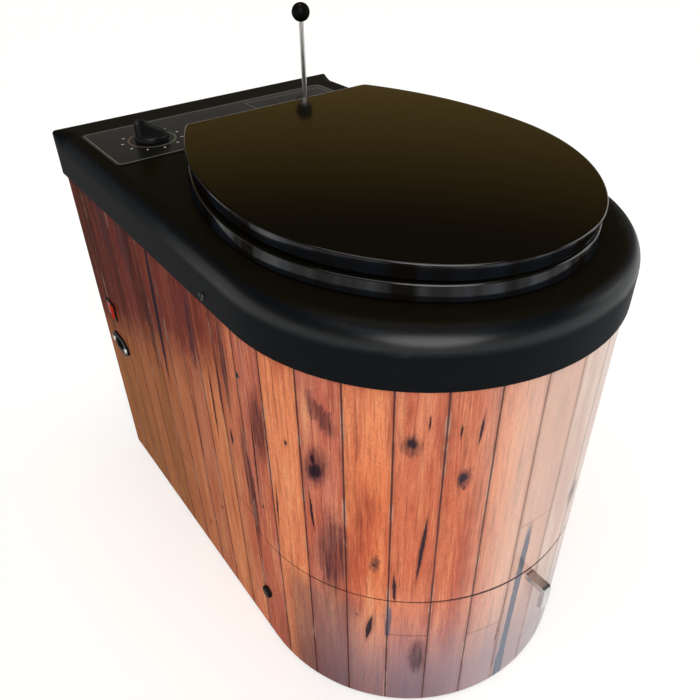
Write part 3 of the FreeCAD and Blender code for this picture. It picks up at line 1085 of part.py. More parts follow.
def slab(name, corners, level, thickness, top_round, bottom_round):
    """A padded outline with its rear corners and its upper and lower rims rounded."""
    body = doc.addObject("PartDesign::Body", name + "_body")
    pad = body.newObject("PartDesign::Pad", name + "_pad")
    pad.Profile = body_sketch(body, name + "_outline", corners, "XY_Plane", level)
    bind(pad, Length=thickness)
    doc.recompute()
    rear = max(vertex.Y for vertex in pad.Shape.Vertexes)

    def at_rear(edge):
        return upright(edge) and abs(edge.BoundBox.YMax - rear) < 1e-3

    base = pad
    rounds = (("corner", at_rear, "dim.seat_corner"),
              ("top", at_height(f"{level} + {thickness}"), top_round),
              ("bottom", at_height(level), bottom_round))
    for rim, choose, radius in rounds:
        fillet = body.newObject("PartDesign::Fillet", f"{name}_{rim}_round")
        fillet.Base = (base, [f"Edge{index}" for index,
                              edge in enumerate(base.Shape.Edges, 1) if choose(edge)])
        bind(fillet, Radius=radius)
        doc.recompute()
        base = fillet
    return body


def lug_pair(name, corners, start):
    """A hinge eye on each side of the middle, cut from a profile in the hinge's own plane."""
    one = prism(name, corners, (start, f"{start} + dim.eye_width"), "X")
    return [one, mirrored(name + "_other", one)]


def make_seat_and_lid():
    eye = "dim.hinge_eye_radius"
    inner_eye = "(dim.hinge_spread - dim.post_width / 2 - dim.eye_gap - dim.eye_width)"
    outer_eye = "(dim.hinge_spread + dim.post_width / 2 + dim.eye_gap)"
    reach = f"({LID_FRONT} + {HINGE_Y})"
    set_back = "dim.hinge_set_back"
    root = f"({set_back} + dim.edge_round + 2)"
    bore_span = (f"-{outer_eye} - dim.eye_width - {PAST}", f"{outer_eye} + dim.eye_width + {PAST}")

    # Seat ring
    low, high = f"({SEAT_BOTTOM} - {HINGE_Z})", f"({SEAT_TOP} - {HINGE_Z})"
    ring = slab("seat_slab", seat_outline(), low, "dim.seat_thickness", "dim.edge_round / 2",
                "dim.edge_round / 2")
    hole_half = "(dim.seat_hole_width / 2)"
    front_y = f"({hole_half} - dim.seat_hole_front - {HINGE_Y})"
    rear_y = f"({front_y} + dim.seat_hole_length - dim.seat_hole_width)"
    hole = prism("seat_hole", [(hole_half, front_y), (hole_half, rear_y, "0", rear_y, 1),
                               (f"-{hole_half}", rear_y), (f"-{hole_half}", front_y, "0", front_y, 1)],
                 (f"{low} - {PAST}", f"{high} + {PAST}"))
    seat_lugs = lug_pair("seat_lug",
                         [(f"-{root}", f"{low} + dim.edge_round"),
                          (f"-{set_back}", f"{low} + dim.edge_round"), ("0", f"-{eye}", "0", "0", 1),
                          ("0", eye), (f"-{set_back}", f"{high} - dim.edge_round / 2"),
                          (f"-{root}", f"{high} - dim.edge_round / 2")], inner_eye)
    eye_bore = "dim.hinge_pin_diameter / 2 + dim.running_gap"
    seat_bore = bar("seat_eye_bore", "X", eye_bore, bore_span, "0", "0")
    opened = cut("seat_opened", ring, hole)
    seat = cut("seat_ring_solid", fuse("seat_outside", opened, *seat_lugs), seat_bore)
    node(place(seat, "0", HINGE_Y, HINGE_Z), "seat_ring")
    pads = []
    for row, x, y in (("front", f"({LID_HALF} - dim.bumper_inset)", "dim.bumper_front_depth"),
                      ("rear", "dim.bumper_rear_side", "dim.bumper_rear_depth")):
        for side in (-1, 1):
            pads.append(bar(f"seat_bumper_{row}_{side + 1}", "Z", "dim.bumper_diameter / 2",
                            (DECK, SEAT_BOTTOM), f"{side} * {x}", y))
    node(group("seat_bumpers_group", *pads), "seat_bumpers")

    # Lid, modelled level about the hinge line and then tilted so that its front comes down to the seat
    under = f"({SEAT_TOP} + dim.lid_gap + {reach} * sin(dim.lid_tilt) - {HINGE_Z})"
    shell = slab("lid_slab", seat_outline(), under, "dim.lid_thickness", "dim.edge_round * 1.2",
                 "dim.edge_round / 2")
    top = f"({under} + dim.lid_thickness * 0.6)"
    lid_lugs = lug_pair("lid_lug",
                        [(f"-{eye}", "0", "0", "0", 1), (eye, "0"), (eye, under), (f"-{set_back}", top),
                         (f"-{root}", top), (f"-{root}", f"{under} + dim.edge_round / 2"),
                         (f"-{set_back}", f"{under} + dim.edge_round / 2")], outer_eye)
    lid_bore = bar("lid_eye_bore", "X", eye_bore, bore_span, "0", "0")
    lid = cut("lid_solid", fuse("lid_outside", shell, *lid_lugs), lid_bore)
    node(tilt(place(lid, "0", HINGE_Y, HINGE_Z), (1, 0, 0), "dim.lid_tilt"), "lid")
    stop = f"({HINGE_Y} + dim.lid_bumper_front)"
    slope = f"({reach} - {stop} - dim.bumper_diameter / 2) * sin(dim.lid_tilt)"
    drop = f"(dim.lid_gap + {slope} - dim.fit_gap)"
    stops = [bar(f"lid_bumper_{side + 1}", "Z", "dim.bumper_diameter / 2", (f"{under} - {drop}", under),
                 f"{side} * dim.lid_bumper_side", f"-{stop}") for side in (-1, 1)]
    stop_group = place(group("lid_bumpers_group", *stops), "0", HINGE_Y, HINGE_Z)
    node(tilt(stop_group, (1, 0, 0), "dim.lid_tilt"), "lid_bumpers")

    # Hinge posts and pins
    half_post = "dim.post_depth / 2"
    foot = f"({half_post} * 1.5)"
    lift = "dim.post_foot"
    corners = [(f"-{foot}", "-dim.hinge_rise"), (foot, "-dim.hinge_rise"),
               (foot, f"{lift} - dim.hinge_rise"), (half_post, f"{lift} - dim.hinge_rise"),
               (half_post, "0", "0", "0", 1), (f"-{half_post}", "0"),
               (f"-{half_post}", f"{lift} - dim.hinge_rise"), (f"-{foot}", f"{lift} - dim.hinge_rise")]
    post_x = ("dim.hinge_spread - dim.post_width / 2", "dim.hinge_spread + dim.post_width / 2")
    post = prism("hinge_post_block", corners, post_x, "X", (HINGE_Y, HINGE_Z))
    post_bore = bar("hinge_post_bore", "X", "dim.hinge_pin_diameter / 2", ("0", f"{post_x[1]} + {PAST}"),
                    HINGE_Y, HINGE_Z)
    node(pair("hinge_posts_group", cut("hinge_post", post, post_bore)), "hinge_posts")
    pin = bar("hinge_pin", "X", "dim.hinge_pin_diameter / 2",
              (f"{inner_eye} - {PAST}", f"{outer_eye} + dim.eye_width + {PAST}"), HINGE_Y, HINGE_Z)
    node(pair("hinge_pins_group", pin), "hinge_pins")


# Ash drawer

def make_drawer():
    top = "(dim.seam_height - dim.seam_gap)"
    rear = "(dim.seam_back - dim.seam_gap)"
    shell = d_prism("drawer_front_outside", HALF, rear, ("dim.wrap_ground_gap", top))
    room = d_prism("drawer_front_inside", INNER, f"{rear} + {PAST}", (f"-{PAST}", f"{top} + {PAST}"))
    stud_hole = side_hole("drawer_stud_hole", "dim.stud_shank / 2", "dim.stud_back", STUD_Z)
    half_grip = "dim.handle_width / 2"
    window = block("drawer_handle_window", (f"-{half_grip}", half_grip),
                   (f"-{HALF} - {PAST}", f"-{INNER} * 0.9"),
                   (f"{HANDLE_TOP} - dim.handle_arm", HANDLE_TOP))
    node(cut("drawer_front_solid", shell, room, stud_hole, window), "drawer_front")
    front, inner = f"(-{HALF} - dim.handle_reach)", f"(-{INNER} + dim.fit_gap)"
    leg, arm, bend, high = "dim.handle_leg", "dim.handle_arm", "dim.handle_bend", HANDLE_TOP
    tip = f"({high} - dim.handle_drop)"
    back = f"({inner} + {leg})"
    corners = [(front, f"{high} - {bend}"), (front, tip), (f"{front} + {leg}", tip),
               (f"{front} + {leg}", f"{high} - {arm}"), (inner, f"{high} - {arm}"), (inner, tip),
               (back, tip), (back, high), (f"{front} + {bend}", high, f"{front} + {bend}",
                                           f"{high} - {bend}", 1)]
    node(prism("pull_handle_solid", corners, (f"-{half_grip}", half_grip), "X"), "pull_handle")

    # Tray
    wall, depth = "dim.tray_sheet", "dim.tray_arm_depth / 2"
    y = (f"-{INNER}", "dim.tray_back")
    sheets = [block("tray_floor", (f"-{TRAY_HALF}", TRAY_HALF), y, (TRAY_BOTTOM, TRAY_FLOOR)),
              block("tray_back_wall", (f"-{TRAY_HALF}", TRAY_HALF), (f"{y[1]} - {wall}", y[1]),
                    (TRAY_BOTTOM, f"{TRAY_BOTTOM} + dim.tray_back_wall"))]
    arm_z = (f"{STUD_Z} - {depth}", f"{STUD_Z} + {depth}")
    arm_y = (f"dim.stud_back - {depth}", f"dim.stud_back + {depth} * 0.9")
    for name, x in (("left", -1), ("right", 1)):
        low, high = (TRAY_HALF, INNER) if x > 0 else (f"-{INNER}", f"-{TRAY_HALF}")
        edge = (f"{TRAY_HALF} - {wall}", TRAY_HALF) if x > 0 else (f"-{TRAY_HALF}", f"-{TRAY_HALF} + {wall}")
        tab = (f"{INNER} - {wall} * 2", INNER) if x > 0 else (f"-{INNER}", f"-{INNER} + {wall} * 2")
        sheets.append(block(f"tray_{name}_wall", edge, y, (TRAY_BOTTOM, TRAY_TOP)))
        sheets.append(block(f"tray_{name}_arm", (low, high), (f"{arm_y[1]} - {wall}", arm_y[1]), arm_z))
        sheets.append(block(f"tray_{name}_tab", tab, arm_y, arm_z))
    limit = d_prism("tray_limit", INNER, f"dim.tray_back + {PAST}", ("0", "dim.shelf_height"))
    shank_hole = side_hole("tray_stud_hole", "dim.stud_shank / 2", "dim.stud_back", STUD_Z)
    tray = common("tray_trimmed", fuse("tray_sheets", *sheets), limit)
    node(cut("drawer_tray_solid", tray, shank_hole), "drawer_tray")
    at = ("dim.stud_back", STUD_Z)
    corner = "(dim.stud_size / 2)"
    hexagon = [(f"{corner} * cos({angle})", f"{corner} * sin({angle})") for angle in range(30, 390, 60)]
    shoulder = f"({HALF} + dim.stud_height - dim.stud_face)"
    shank = bar("stud_shank_bar", "X", "dim.stud_shank / 2", (f"{INNER} - dim.stud_shank", HALF), *at)
    flats = prism("stud_flats", hexagon, (HALF, shoulder), "X", at)
    face = bar("stud_end_face", "X", f"{corner} * cos(30)", (shoulder, f"{HALF} + dim.stud_height"), *at,
               end_radius=f"{corner} * cos(30) - dim.stud_face")
    node(pair("panel_studs_group", fuse("panel_stud", shank, flats, face)), "panel_studs")
    make_ash_pan()
    make_runners()


def make_ash_pan():
    half = f"({TRAY_HALF} - dim.pan_side_gap)"
    thick = "dim.pan_wall"
    rim_top = "(dim.shelf_height - dim.pan_head_gap)"

    def layer(name, grow, span):
        corner = f"(dim.pan_corner + {grow})"
        return prism(name, rounded((f"-{half} - ({grow})", f"{half} + {grow}"),
                                   (f"-dim.pan_front - ({grow})", f"dim.pan_back + {grow}"), corner), span)

    outside = layer("ash_pan_outside", "0", (TRAY_FLOOR, rim_top))
    rim = layer("ash_pan_rim", "dim.pan_rim", (f"{rim_top} - {thick}", rim_top))
    room = layer("ash_pan_room", f"(-{thick})", (f"{TRAY_FLOOR} + {thick}", f"{rim_top} + {PAST}"))
    node(cut("ash_pan_solid", fuse("ash_pan_walls", outside, rim), room), "ash_pan")


def make_runners():
    side, thick = RUNNER_SIDE, "dim.runner_sheet"
    span = ("-dim.runner_front", "dim.runner_back")
    floor = block("runner_floor", (f"{side} - dim.runner_flange", side), span, (PAN_TOP, RUNNER_TOP))
    wall = block("runner_wall", (f"{side} - {thick}", side), span,
                 (PAN_TOP, f"{PAN_TOP} + dim.runner_height"))
    node(pair("drawer_runners_group", fuse("drawer_runner", floor, wall)), "drawer_runners")


MAKERS = (make_cabinet_wrap, make_back_panel, make_base, make_frame, make_brackets, make_top_cover,
          make_bowl, make_chamber, make_heater, make_flue, make_flap, make_linkage, make_lift_rod,
          make_timer, make_switch, make_inlet, make_seat_and_lid, make_drawer)
for maker in MAKERS:
    maker()
doc.recompute()

# Check everything, then write one file for each piece
for item in doc.Objects:
    if "Invalid" in item.State or "Error" in item.State:
        raise RuntimeError(f"{item.Name} failed: {item.State}")
os.makedirs("parts", exist_ok=True)
for item in NODES:
    if item.Shape.isNull() or not item.Shape.isValid():
        raise RuntimeError(f"{item.Label} has no valid shape")
for item in NODES:
    item.Shape.exportStep(os.path.join("parts", item.Label + ".step"))
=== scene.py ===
import json
import math

import bmesh
import bpy
from bpy.props import FloatProperty, FloatVectorProperty, IntProperty, PointerProperty
from mathutils import Matrix, Vector


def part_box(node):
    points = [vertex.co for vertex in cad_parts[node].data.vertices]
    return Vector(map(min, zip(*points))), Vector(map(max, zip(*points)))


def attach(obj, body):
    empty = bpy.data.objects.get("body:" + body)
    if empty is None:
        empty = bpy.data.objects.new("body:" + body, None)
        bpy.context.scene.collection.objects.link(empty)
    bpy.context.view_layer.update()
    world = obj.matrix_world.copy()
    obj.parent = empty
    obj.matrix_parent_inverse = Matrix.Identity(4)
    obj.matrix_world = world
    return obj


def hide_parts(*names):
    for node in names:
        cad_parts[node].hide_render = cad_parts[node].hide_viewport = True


bl_info = {
    "name": "Incinerating Toilet",
    "version": (1, 0, 0),
    "blender": (4, 5, 0),
    "location": "View3D > Sidebar > Toilet",
    "description": "Finishes the packed toilet: plank print, mouldings, fittings, works and studio",
    "category": "Object",
}

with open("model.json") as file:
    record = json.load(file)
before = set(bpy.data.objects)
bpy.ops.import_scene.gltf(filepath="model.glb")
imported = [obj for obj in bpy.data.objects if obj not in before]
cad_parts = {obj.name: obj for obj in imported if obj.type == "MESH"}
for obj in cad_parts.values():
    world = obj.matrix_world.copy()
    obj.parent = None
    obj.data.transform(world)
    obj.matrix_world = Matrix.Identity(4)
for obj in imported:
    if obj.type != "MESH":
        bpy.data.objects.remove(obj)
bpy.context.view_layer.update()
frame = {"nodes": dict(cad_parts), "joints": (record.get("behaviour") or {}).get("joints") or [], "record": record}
NODES = frame["nodes"]
JOINTS = {joint["name"]: joint for joint in frame["joints"]}
SLOTS = {part["node"]: part["material_slot"] for part in frame["record"]["subparts"]}
BODY_OF = {node: body for body, nodes in frame["record"]["behaviour"]["bodies"].items() for node in nodes}

# Driving sizes read from the frame, in metres
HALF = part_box("cabinet_wrap")[1].x
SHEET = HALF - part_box("base_pan")[1].x
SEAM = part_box("drawer_front")[1].z
LABEL_LOW, LABEL_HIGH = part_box("control_label")
KNOB_AXIS = Vector(JOINTS["timer_turn"]["pos_m"])
KNOB_LOW, KNOB_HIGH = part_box("timer_knob")
MM = 0.001
# Points of a mesh that are nearer than this are one
MERGE = 1e-6


# Sizes and colours that a user may change

def colour(name, description, default):
    return FloatVectorProperty(name=name, description=description, default=default, size=3, min=0, max=1,
                               subtype="COLOR")


def length(name, description, default, least=0.0):
    return FloatProperty(name=name, description=description, default=default, min=least, unit="LENGTH",
                         subtype="DISTANCE", precision=5)


def share(name, description, default):
    return FloatProperty(name=name, description=description, default=default, min=0, max=1, subtype="FACTOR")


def degrees(name, description, default):
    return FloatProperty(name=name, description=description, default=math.radians(default), subtype="ANGLE")


def brightness(name, description, default):
    return FloatProperty(name=name, description=description, default=default, min=0)


def number(name, description, default, least):
    return IntProperty(name=name, description=description, default=default, min=least)


class PlankSettings(bpy.types.PropertyGroup):
    pitch: length("Plank width", "Width of one printed plank", 0.0412)
    first_joint: length("First joint", "Run along the wrap to the joint left of the middle", -0.028, -1.0)
    joint_width: length("Joint line", "Half width of the dark line between planks", 0.00065)
    orange: colour("Orange", "Plain orange plank", (0.66, 0.212, 0.116))
    amber: colour("Amber", "Lighter yellow brown plank", (0.78, 0.255, 0.118))
    russet: colour("Russet", "Red brown plank", (0.55, 0.168, 0.116))
    ember: colour("Ember", "Red drifts in the planks", (0.50, 0.108, 0.058))
    umber: colour("Umber", "Dark plank and dark grain", (0.185, 0.048, 0.028))
    # Rose and blush are pale; on planks 1 and 2, right of the front, that paleness is painted reflection
    rose: colour("Rose", "Pinkish plank", (0.72, 0.510, 0.460))
    blush: colour("Blush", "Pale plank", (0.74, 0.470, 0.365))
    tan: colour("Tan", "Dull yellow plank", (0.39, 0.155, 0.056))
    gold: colour("Gold streaks", "Pale streaks in the grain", (0.88, 0.44, 0.205))
    worn: colour("Worn edge", "Pale worn edges of some planks", (0.82, 0.56, 0.42))
    # Painted sheen: a pale veil of reflection over the planks right of the front
    painted_sheen_tint: colour("Bleach", "Pale bloom where the sun has faded the front", (0.68, 0.60, 0.535))
    stain: colour("Stain", "Purple brown stains round the knots", (0.050, 0.018, 0.026))
    crack: colour("Crack", "Cracks and knots", (0.012, 0.007, 0.016))
    # The joint colour also paints a shadow line along the drawer's seam and darkens the sheet's cut edge as shadow
    joint: colour("Joint", "Lines between the planks and cut edge of the sheet", (0.038, 0.012, 0.019))
    # Painted blue reflections near the drawer pull
    blue_reflection: colour("Slate", "Blue grey runs near the drawer pull", (0.075, 0.112, 0.170))
    # Painted reflection that greys the round front towards the foot
    painted_haze_tint: colour("Mist", "Grey rose bloom towards the foot", (0.265, 0.222, 0.268))
    low_grey: colour("Smoke", "Grey brown of the low planks left of the middle", (0.150, 0.088, 0.072))
    # Painted shade on the upper part of the flat sides
    upper_painted_shade: colour("Upper shade", "Darkens the upper part of the flat sides", (0.30, 0.19, 0.24))
    rear_shade: colour("Rear shade", "Darkens the flat sides towards the rear", (0.76, 0.74, 0.62))
    red_shade: colour("Red shade", "Reddens the planks left of the middle", (0.88, 0.60, 0.48))
    # Painted shade at the foot left of the middle
    foot_painted_shade: colour("Foot shade", "Darkens the foot left of the middle", (0.50, 0.50, 0.58))
    backing: colour("Backing", "Unprinted back of the sheet", (0.62, 0.61, 0.58))
    front_coat: share("Front varnish", "Weight of the varnish where it is thickest, right of the front", 0.65)
    side_coat: share("Side varnish", "Weight of the varnish on the flat sides", 0.05)


class MouldingSettings(bpy.types.PropertyGroup):
    cover: colour("Cover", "Black of the top cover", (0.0032, 0.0044, 0.0058))
    scuff: colour("Cover scuffs", "Grey of the scuffs on the top cover", (0.016, 0.017, 0.019))
    # Painted warm reflection on the cover's flat top
    deck: colour("Deck", "Warm black of the cover's flat top", (0.0052, 0.0042, 0.0020))
    # Painted blue highlight on the cover's right side
    painted_sheen: colour("Faded cover", "Blue black of the cover's right side", (0.015, 0.021, 0.025))
    seat: colour("Seat", "Black of the seat and lid", (0.0034, 0.0028, 0.0020))
    cloud: colour("Seat clouds", "Warmer clouds in the black of the seat and lid", (0.0055, 0.0043, 0.0026))
    # Painted blue reflection on the walls of the seat and lid, in bars round the rims
    rim: colour("Rim polish", "Blue black of the polished parts of the rims", (0.006, 0.009, 0.014))
    fitting: colour("Fittings", "Black of the small fittings", (0.0070, 0.0068, 0.0068))
    rubbed: colour("Rubbed fittings", "Grey of the rubbed parts of the fittings", (0.028, 0.027, 0.026))
    film: colour("Label film", "Olive grey of the printed label", (0.0066, 0.0066, 0.0046))
    haze: colour("Label haze", "Darker clouds in the label", (0.0048, 0.0050, 0.0038))
    disc: colour("Label disc", "Black of the disc under the knob", (0.004, 0.004, 0.004))
    ink: colour("Label ink", "Pale ink of the label's lines", (0.26, 0.26, 0.21))
    tick: colour("Tick ink", "White ink of the dial's long ticks", (0.62, 0.62, 0.56))
    lens: colour("Rocker", "Red of the rocker", (0.33, 0.012, 0.006))
    core: colour("Rocker core", "Paler red inside the rocker", (0.50, 0.05, 0.02))
    # A painted glow that stands in for glints on the rocker
    painted_glint: colour("Rocker glow", "Faint light of the rocker", (0.5, 0.03, 0.01))
    cover_roughness: share("Cover roughness", "Roughness of the moulded cover", 0.34)
    seat_roughness: share("Seat roughness", "Roughness of the lacquered seat", 0.09)


class SeatSettings(bpy.types.PropertyGroup):
    nose_step: length("Nose step", "How much smaller the nose arc is than the half width", 0.024)
    widest: length("Widest line", "Distance of the widest line behind the axis of the round front", 0.034)
    rear_width: length("Rear width", "Width of the straight rear edge", 0.227)
    set_back: length("Set back", "Distance from the rear edge to the hinge line", 0.015)
    corner: length("Rear corners", "Radius of the rear corners", 0.008)
    hole_width: length("Hole width", "Width of the seat's opening", 0.220)
    hole_front: length("Hole front", "Distance of the opening's front ahead of the axis", 0.110)
    hole_length: length("Hole length", "Length of the seat's opening", 0.270)
    seat_lean: length("Seat lean", "How far the seat's rim leans in at its top", 0.0019)
    lid_lean: length("Lid lean", "How far the lid's rim leans in at its foot", 0.0034)
    seat_rim: length("Seat rim", "Radius of the seat's rims", 0.0017)
    lid_rim: length("Lid rim", "Radius of the lid's upper rim", 0.0022)
    lid_tilt: degrees("Lid tilt", "Fall of the lid towards its front", 1.5)


class FittingSettings(bpy.types.PropertyGroup):
    recess_share: share("Recess length", "Length of the cross recess as a share of the head", 0.62)
    recess_width: length("Recess width", "Width of one slot of the cross recess", 0.0011)
    recess_depth: length("Recess depth", "Depth of the cross recess", 0.0009)
    dash_count: number("Dial dashes", "Dashes in the ring round the knob", 46, 8)
    dash_ring: length("Dash ring", "Radius of the ring of dashes", 0.0262)
    dash_length: length("Dash length", "Length of a dash away from the knob", 0.0022)
    dash_width: length("Dash width", "Width of a dash", 0.0015)
    tick_count: number("Dial ticks", "Long ticks round the knob", 9, 2)
    tick_ring: length("Tick ring", "Radius of the ring of ticks", 0.0335)
    tick_length: length("Tick length", "Length of a tick away from the knob", 0.0036)
    tick_width: length("Tick width", "Width of a tick", 0.0013)
    ink_height: length("Ink height", "Thickness of the printed marks", 0.00008)


class WorksSettings(bpy.types.PropertyGroup):
    stainless: colour("Stainless", "Lift rod, shafts, bowl and ash pan", (0.66, 0.655, 0.63))
    bright: colour("Bright steel", "Drawer pull, inlet pins and impeller", (0.74, 0.74, 0.74))
    zinc: colour("Zinc", "Plated heads of the inlet's screws", (0.66, 0.64, 0.58))
    black_zinc: colour("Black zinc", "Plated heads of the wrap's and cover's screws", (0.055, 0.055, 0.058))
    spangle: colour("Spangle", "Pale crystals of the galvanised sheet", (0.68, 0.70, 0.72))
    spangle_dark: colour("Dark spangle", "Dark crystals of the galvanised sheet", (0.36, 0.38, 0.40))
    soot: colour("Soot", "Soot on the hot steel", (0.03, 0.027, 0.025))
    iron: colour("Iron", "Cast iron of the trap flap", (0.075, 0.073, 0.072))
    rust: colour("Rust", "Rust on the trap flap", (0.16, 0.065, 0.03))
    powder: colour("Powder coat", "Grey of the coated sheet", (0.200, 0.205, 0.210))
    dust: colour("Dust", "Dust on the coated sheet", (0.33, 0.32, 0.30))
    rubber: colour("Rubber", "Black of the feet, bumpers and gasket", (0.016, 0.016, 0.016))
    bloom: colour("Rubber bloom", "Grey bloom on the rubber", (0.055, 0.054, 0.052))
    bronze: colour("Bronze", "Dry bronze of the bearings", (0.46, 0.27, 0.095))
    oil: colour("Oiled bronze", "Oily bronze of the bearings", (0.27, 0.15, 0.06))
    wool: colour("Wool", "Pale fibres of the insulation", (0.66, 0.60, 0.42))
    wool_dark: colour("Dark wool", "Dark fibres of the insulation", (0.40, 0.34, 0.20))
    wool_clump: colour("Wool clumps", "Browned clumps of the insulation", (0.26, 0.20, 0.11))
    ceramic: colour("Ceramic", "Clean end of the catalyst", (0.56, 0.50, 0.40))
    burnt: colour("Burnt ceramic", "Hot end of the catalyst", (0.22, 0.13, 0.07))
    birch: colour("Birch", "Pale grain of the deck board", (0.58, 0.41, 0.22))
    birch_dark: colour("Dark birch", "Dark grain of the deck board", (0.40, 0.25, 0.12))
    ply: colour("Ply", "Dark plies on the deck board's edge", (0.20, 0.105, 0.045))


class StageSettings(bpy.types.PropertyGroup):
    floor: colour("Floor", "Pale floor", (0.86, 0.86, 0.855))
    floor_size: length("Floor size", "Side of the square floor", 14.0)
    lift: share("Floor lift", "Brightness that the floor adds to the eye and to reflections", 0.20)
    fill: colour("Fill", "Dim light of the room", (0.105, 0.085, 0.055))
    warm: colour("Warm room", "Upper part of the room that shows in the gloss", (0.24, 0.150, 0.032))
    key_strength: brightness("Key", "Broad light from the front", 2.2)
    top_strength: brightness("Top", "Broad light from above", 1.45)
    side_strength: brightness("Side", "Narrow light from the right", 0.5)
    camera_place: FloatVectorProperty(name="Camera", description="Place of the camera", size=3, unit="LENGTH",
                                      subtype="TRANSLATION", default=(-0.3909, -0.4323, 0.7736))
    yaw: degrees("Yaw", "Turn of the view from +Y towards +X", 35.927)
    pitch: degrees("Pitch", "Tilt of the view below the horizon", 36.509)
    roll: degrees("Roll", "Roll of the view", 0.948)
    lens: FloatProperty(name="Lens", description="Focal length on a 36 mm frame", default=35.47,
                        unit="CAMERA")


class ToiletSettings(bpy.types.PropertyGroup):
    plank: PointerProperty(type=PlankSettings, name="Planks", description="Plank print of the cabinet")
    moulding: PointerProperty(type=MouldingSettings, name="Mouldings", description="Mouldings and label")
    seat: PointerProperty(type=SeatSettings, name="Seat", description="Outline and rims of the seat and lid")
    fitting: PointerProperty(type=FittingSettings, name="Fittings", description="Screws and dial")
    works: PointerProperty(type=WorksSettings, name="Works", description="Metals, rubber and linings")
    stage: PointerProperty(type=StageSettings, name="Stage", description="Floor, lamps and camera")


# Nodes as Python expressions

class Value:
    """An output socket. Operators on it, in either order, add one Math node each."""

    def __init__(self, tree, socket):
        self.tree = tree
        self.socket = socket

    def math(self, operation, *others):
        return self.tree.node("ShaderNodeMath", {"operation": operation}, dict(enumerate((self, *others))))

    def swapped(self, operation, other):
        return self.tree.node("ShaderNodeMath", {"operation": operation}, {0: other, 1: self})

    def __add__(self, other):
        return self.math("ADD", other)

    __radd__ = __add__

    def __sub__(self, other):
        return self.math("SUBTRACT", other)

    def __rsub__(self, other):
        return self.swapped("SUBTRACT", other)

    def __mul__(self, other):
        return self.math("MULTIPLY", other)

    __rmul__ = __mul__

    def __truediv__(self, other):
        return self.math("DIVIDE", other)

    def __rtruediv__(self, other):
        return self.swapped("DIVIDE", other)

    def __neg__(self):
        return self.math("MULTIPLY", -1)

    def __abs__(self):
        return self.math("ABSOLUTE")

    def __gt__(self, other):
        return self.math("GREATER_THAN", other)

    def __lt__(self, other):
        return self.math("LESS_THAN", other)

    def floor(self):
        return self.math("FLOOR")

    def low(self, other):
        return self.math("MINIMUM", other)

    def high(self, other):
        return self.math("MAXIMUM", other)

    def ease(self, start, stop):
        """0 at start, 1 at stop and smooth between them; start may be the larger."""
        if start > stop:
            return 1 - self.ease(stop, start)
        return self.tree.node("ShaderNodeMapRange", {"interpolation_type": "SMOOTHSTEP"},
                              {"Value": self, "From Min": start, "From Max": stop})

    def within(self, rise, fall):
        """1 between a rise and a fall, which each give a start and a stop, and 0 beyond them."""
        return self.ease(*rise) * self.ease(*fall)


class NodeTree:
    """A node tree whose nodes come from one method: type, settings, then values or links of sockets."""

    def __init__(self, tree):
        self.tree = tree

    def node(self, kind, settings=None, sockets=None, output=0):
        made = self.tree.nodes.new(kind)
        for name, setting in (settings or {}).items():
            if name == "stops":
                self.set_stops(made.color_ramp, setting)
            else:
                setattr(made, name, setting)
        for key, value in (sockets or {}).items():
            self.feed(made.inputs[key], value)
        return Value(self, made.outputs[output])

    def feed(self, socket, value):
        if isinstance(value, Value):
            self.tree.links.new(value.socket, socket)
        elif socket.type == "RGBA":
            socket.default_value = (*value[:3], 1)
        else:
            socket.default_value = value

    @staticmethod
    def set_stops(ramp, stops):
        while len(ramp.elements) < len(stops):
            ramp.elements.new(1)
        for element, (spot, shade) in zip(ramp.elements, stops):
            element.position = spot
            element.color = (*shade[:3], 1)

    def split(self, vector):
        made = self.node("ShaderNodeSeparateXYZ", sockets={0: vector})
        return [Value(self, made.socket.node.outputs[index]) for index in range(3)]

    def join(self, x=0.0, y=0.0, z=0.0):
        return self.node("ShaderNodeCombineXYZ", sockets={0: x, 1: y, 2: z})

    def mix(self, factor, first, second, blend="MIX"):
        return self.node("ShaderNodeMix", {"data_type": "RGBA", "blend_type": blend},
                         {0: factor, 6: first, 7: second}, output=2)

    def ramp(self, factor, stops, interpolation="LINEAR"):
        made = self.node("ShaderNodeValToRGB", {"stops": stops}, {0: factor})
        made.socket.node.color_ramp.interpolation = interpolation
        return made


class Finish(NodeTree):
    """A material with one principled shader, read on the piece's own Object coordinates."""

    def __init__(self, name):
        self.material = bpy.data.materials.new(name)
        self.material.use_nodes = True
        super().__init__(self.material.node_tree)
        self.shader = next(node for node in self.tree.nodes if node.type == "BSDF_PRINCIPLED")
        self.place = self.node("ShaderNodeTexCoord", output="Object")

    def upward(self):
        """How far the surface faces up: 1 on a level top, 0 on a wall and -1 underneath."""
        return self.split(self.node("ShaderNodeTexCoord", output="Normal"))[2]

    def stretch(self, x, y, z):
        """Object coordinates multiplied by a scale for each axis."""
        return self.vector_math("MULTIPLY", self.place, (x, y, z))

    def vector_math(self, operation, first, second=None, output=0):
        sockets = {0: first} if second is None else {0: first, 1: second}
        return self.node("ShaderNodeVectorMath", {"operation": operation}, sockets, output)

    def noise(self, vector, scale=1.0, detail=3.0, roughness=0.55):
        return self.node("ShaderNodeTexNoise", sockets={"Vector": vector, "Scale": scale, "Detail": detail,
                                                        "Roughness": roughness})

    def grit(self, scale, detail, roughness=0.55):
        """Noise of one scale in all directions."""
        return self.noise(self.place, scale, detail, roughness)

    def bump(self, height, strength, distance):
        return self.node("ShaderNodeBump",
                         sockets={"Height": height, "Strength": strength, "Distance": distance})

    def surface(self, **sockets):
        """Feed the shader; Base_Color stands for the socket Base Color."""
        for name, value in sockets.items():
            self.feed(self.shader.inputs[name.replace("_", " ")], value)
        return self.material

    def coated(self, weight, roughness, **sockets):
        """A surface whose gloss comes from its clear coat alone."""
        return self.surface(Specular_IOR_Level=0.0, Coat_Weight=weight, Coat_Roughness=roughness, **sockets)


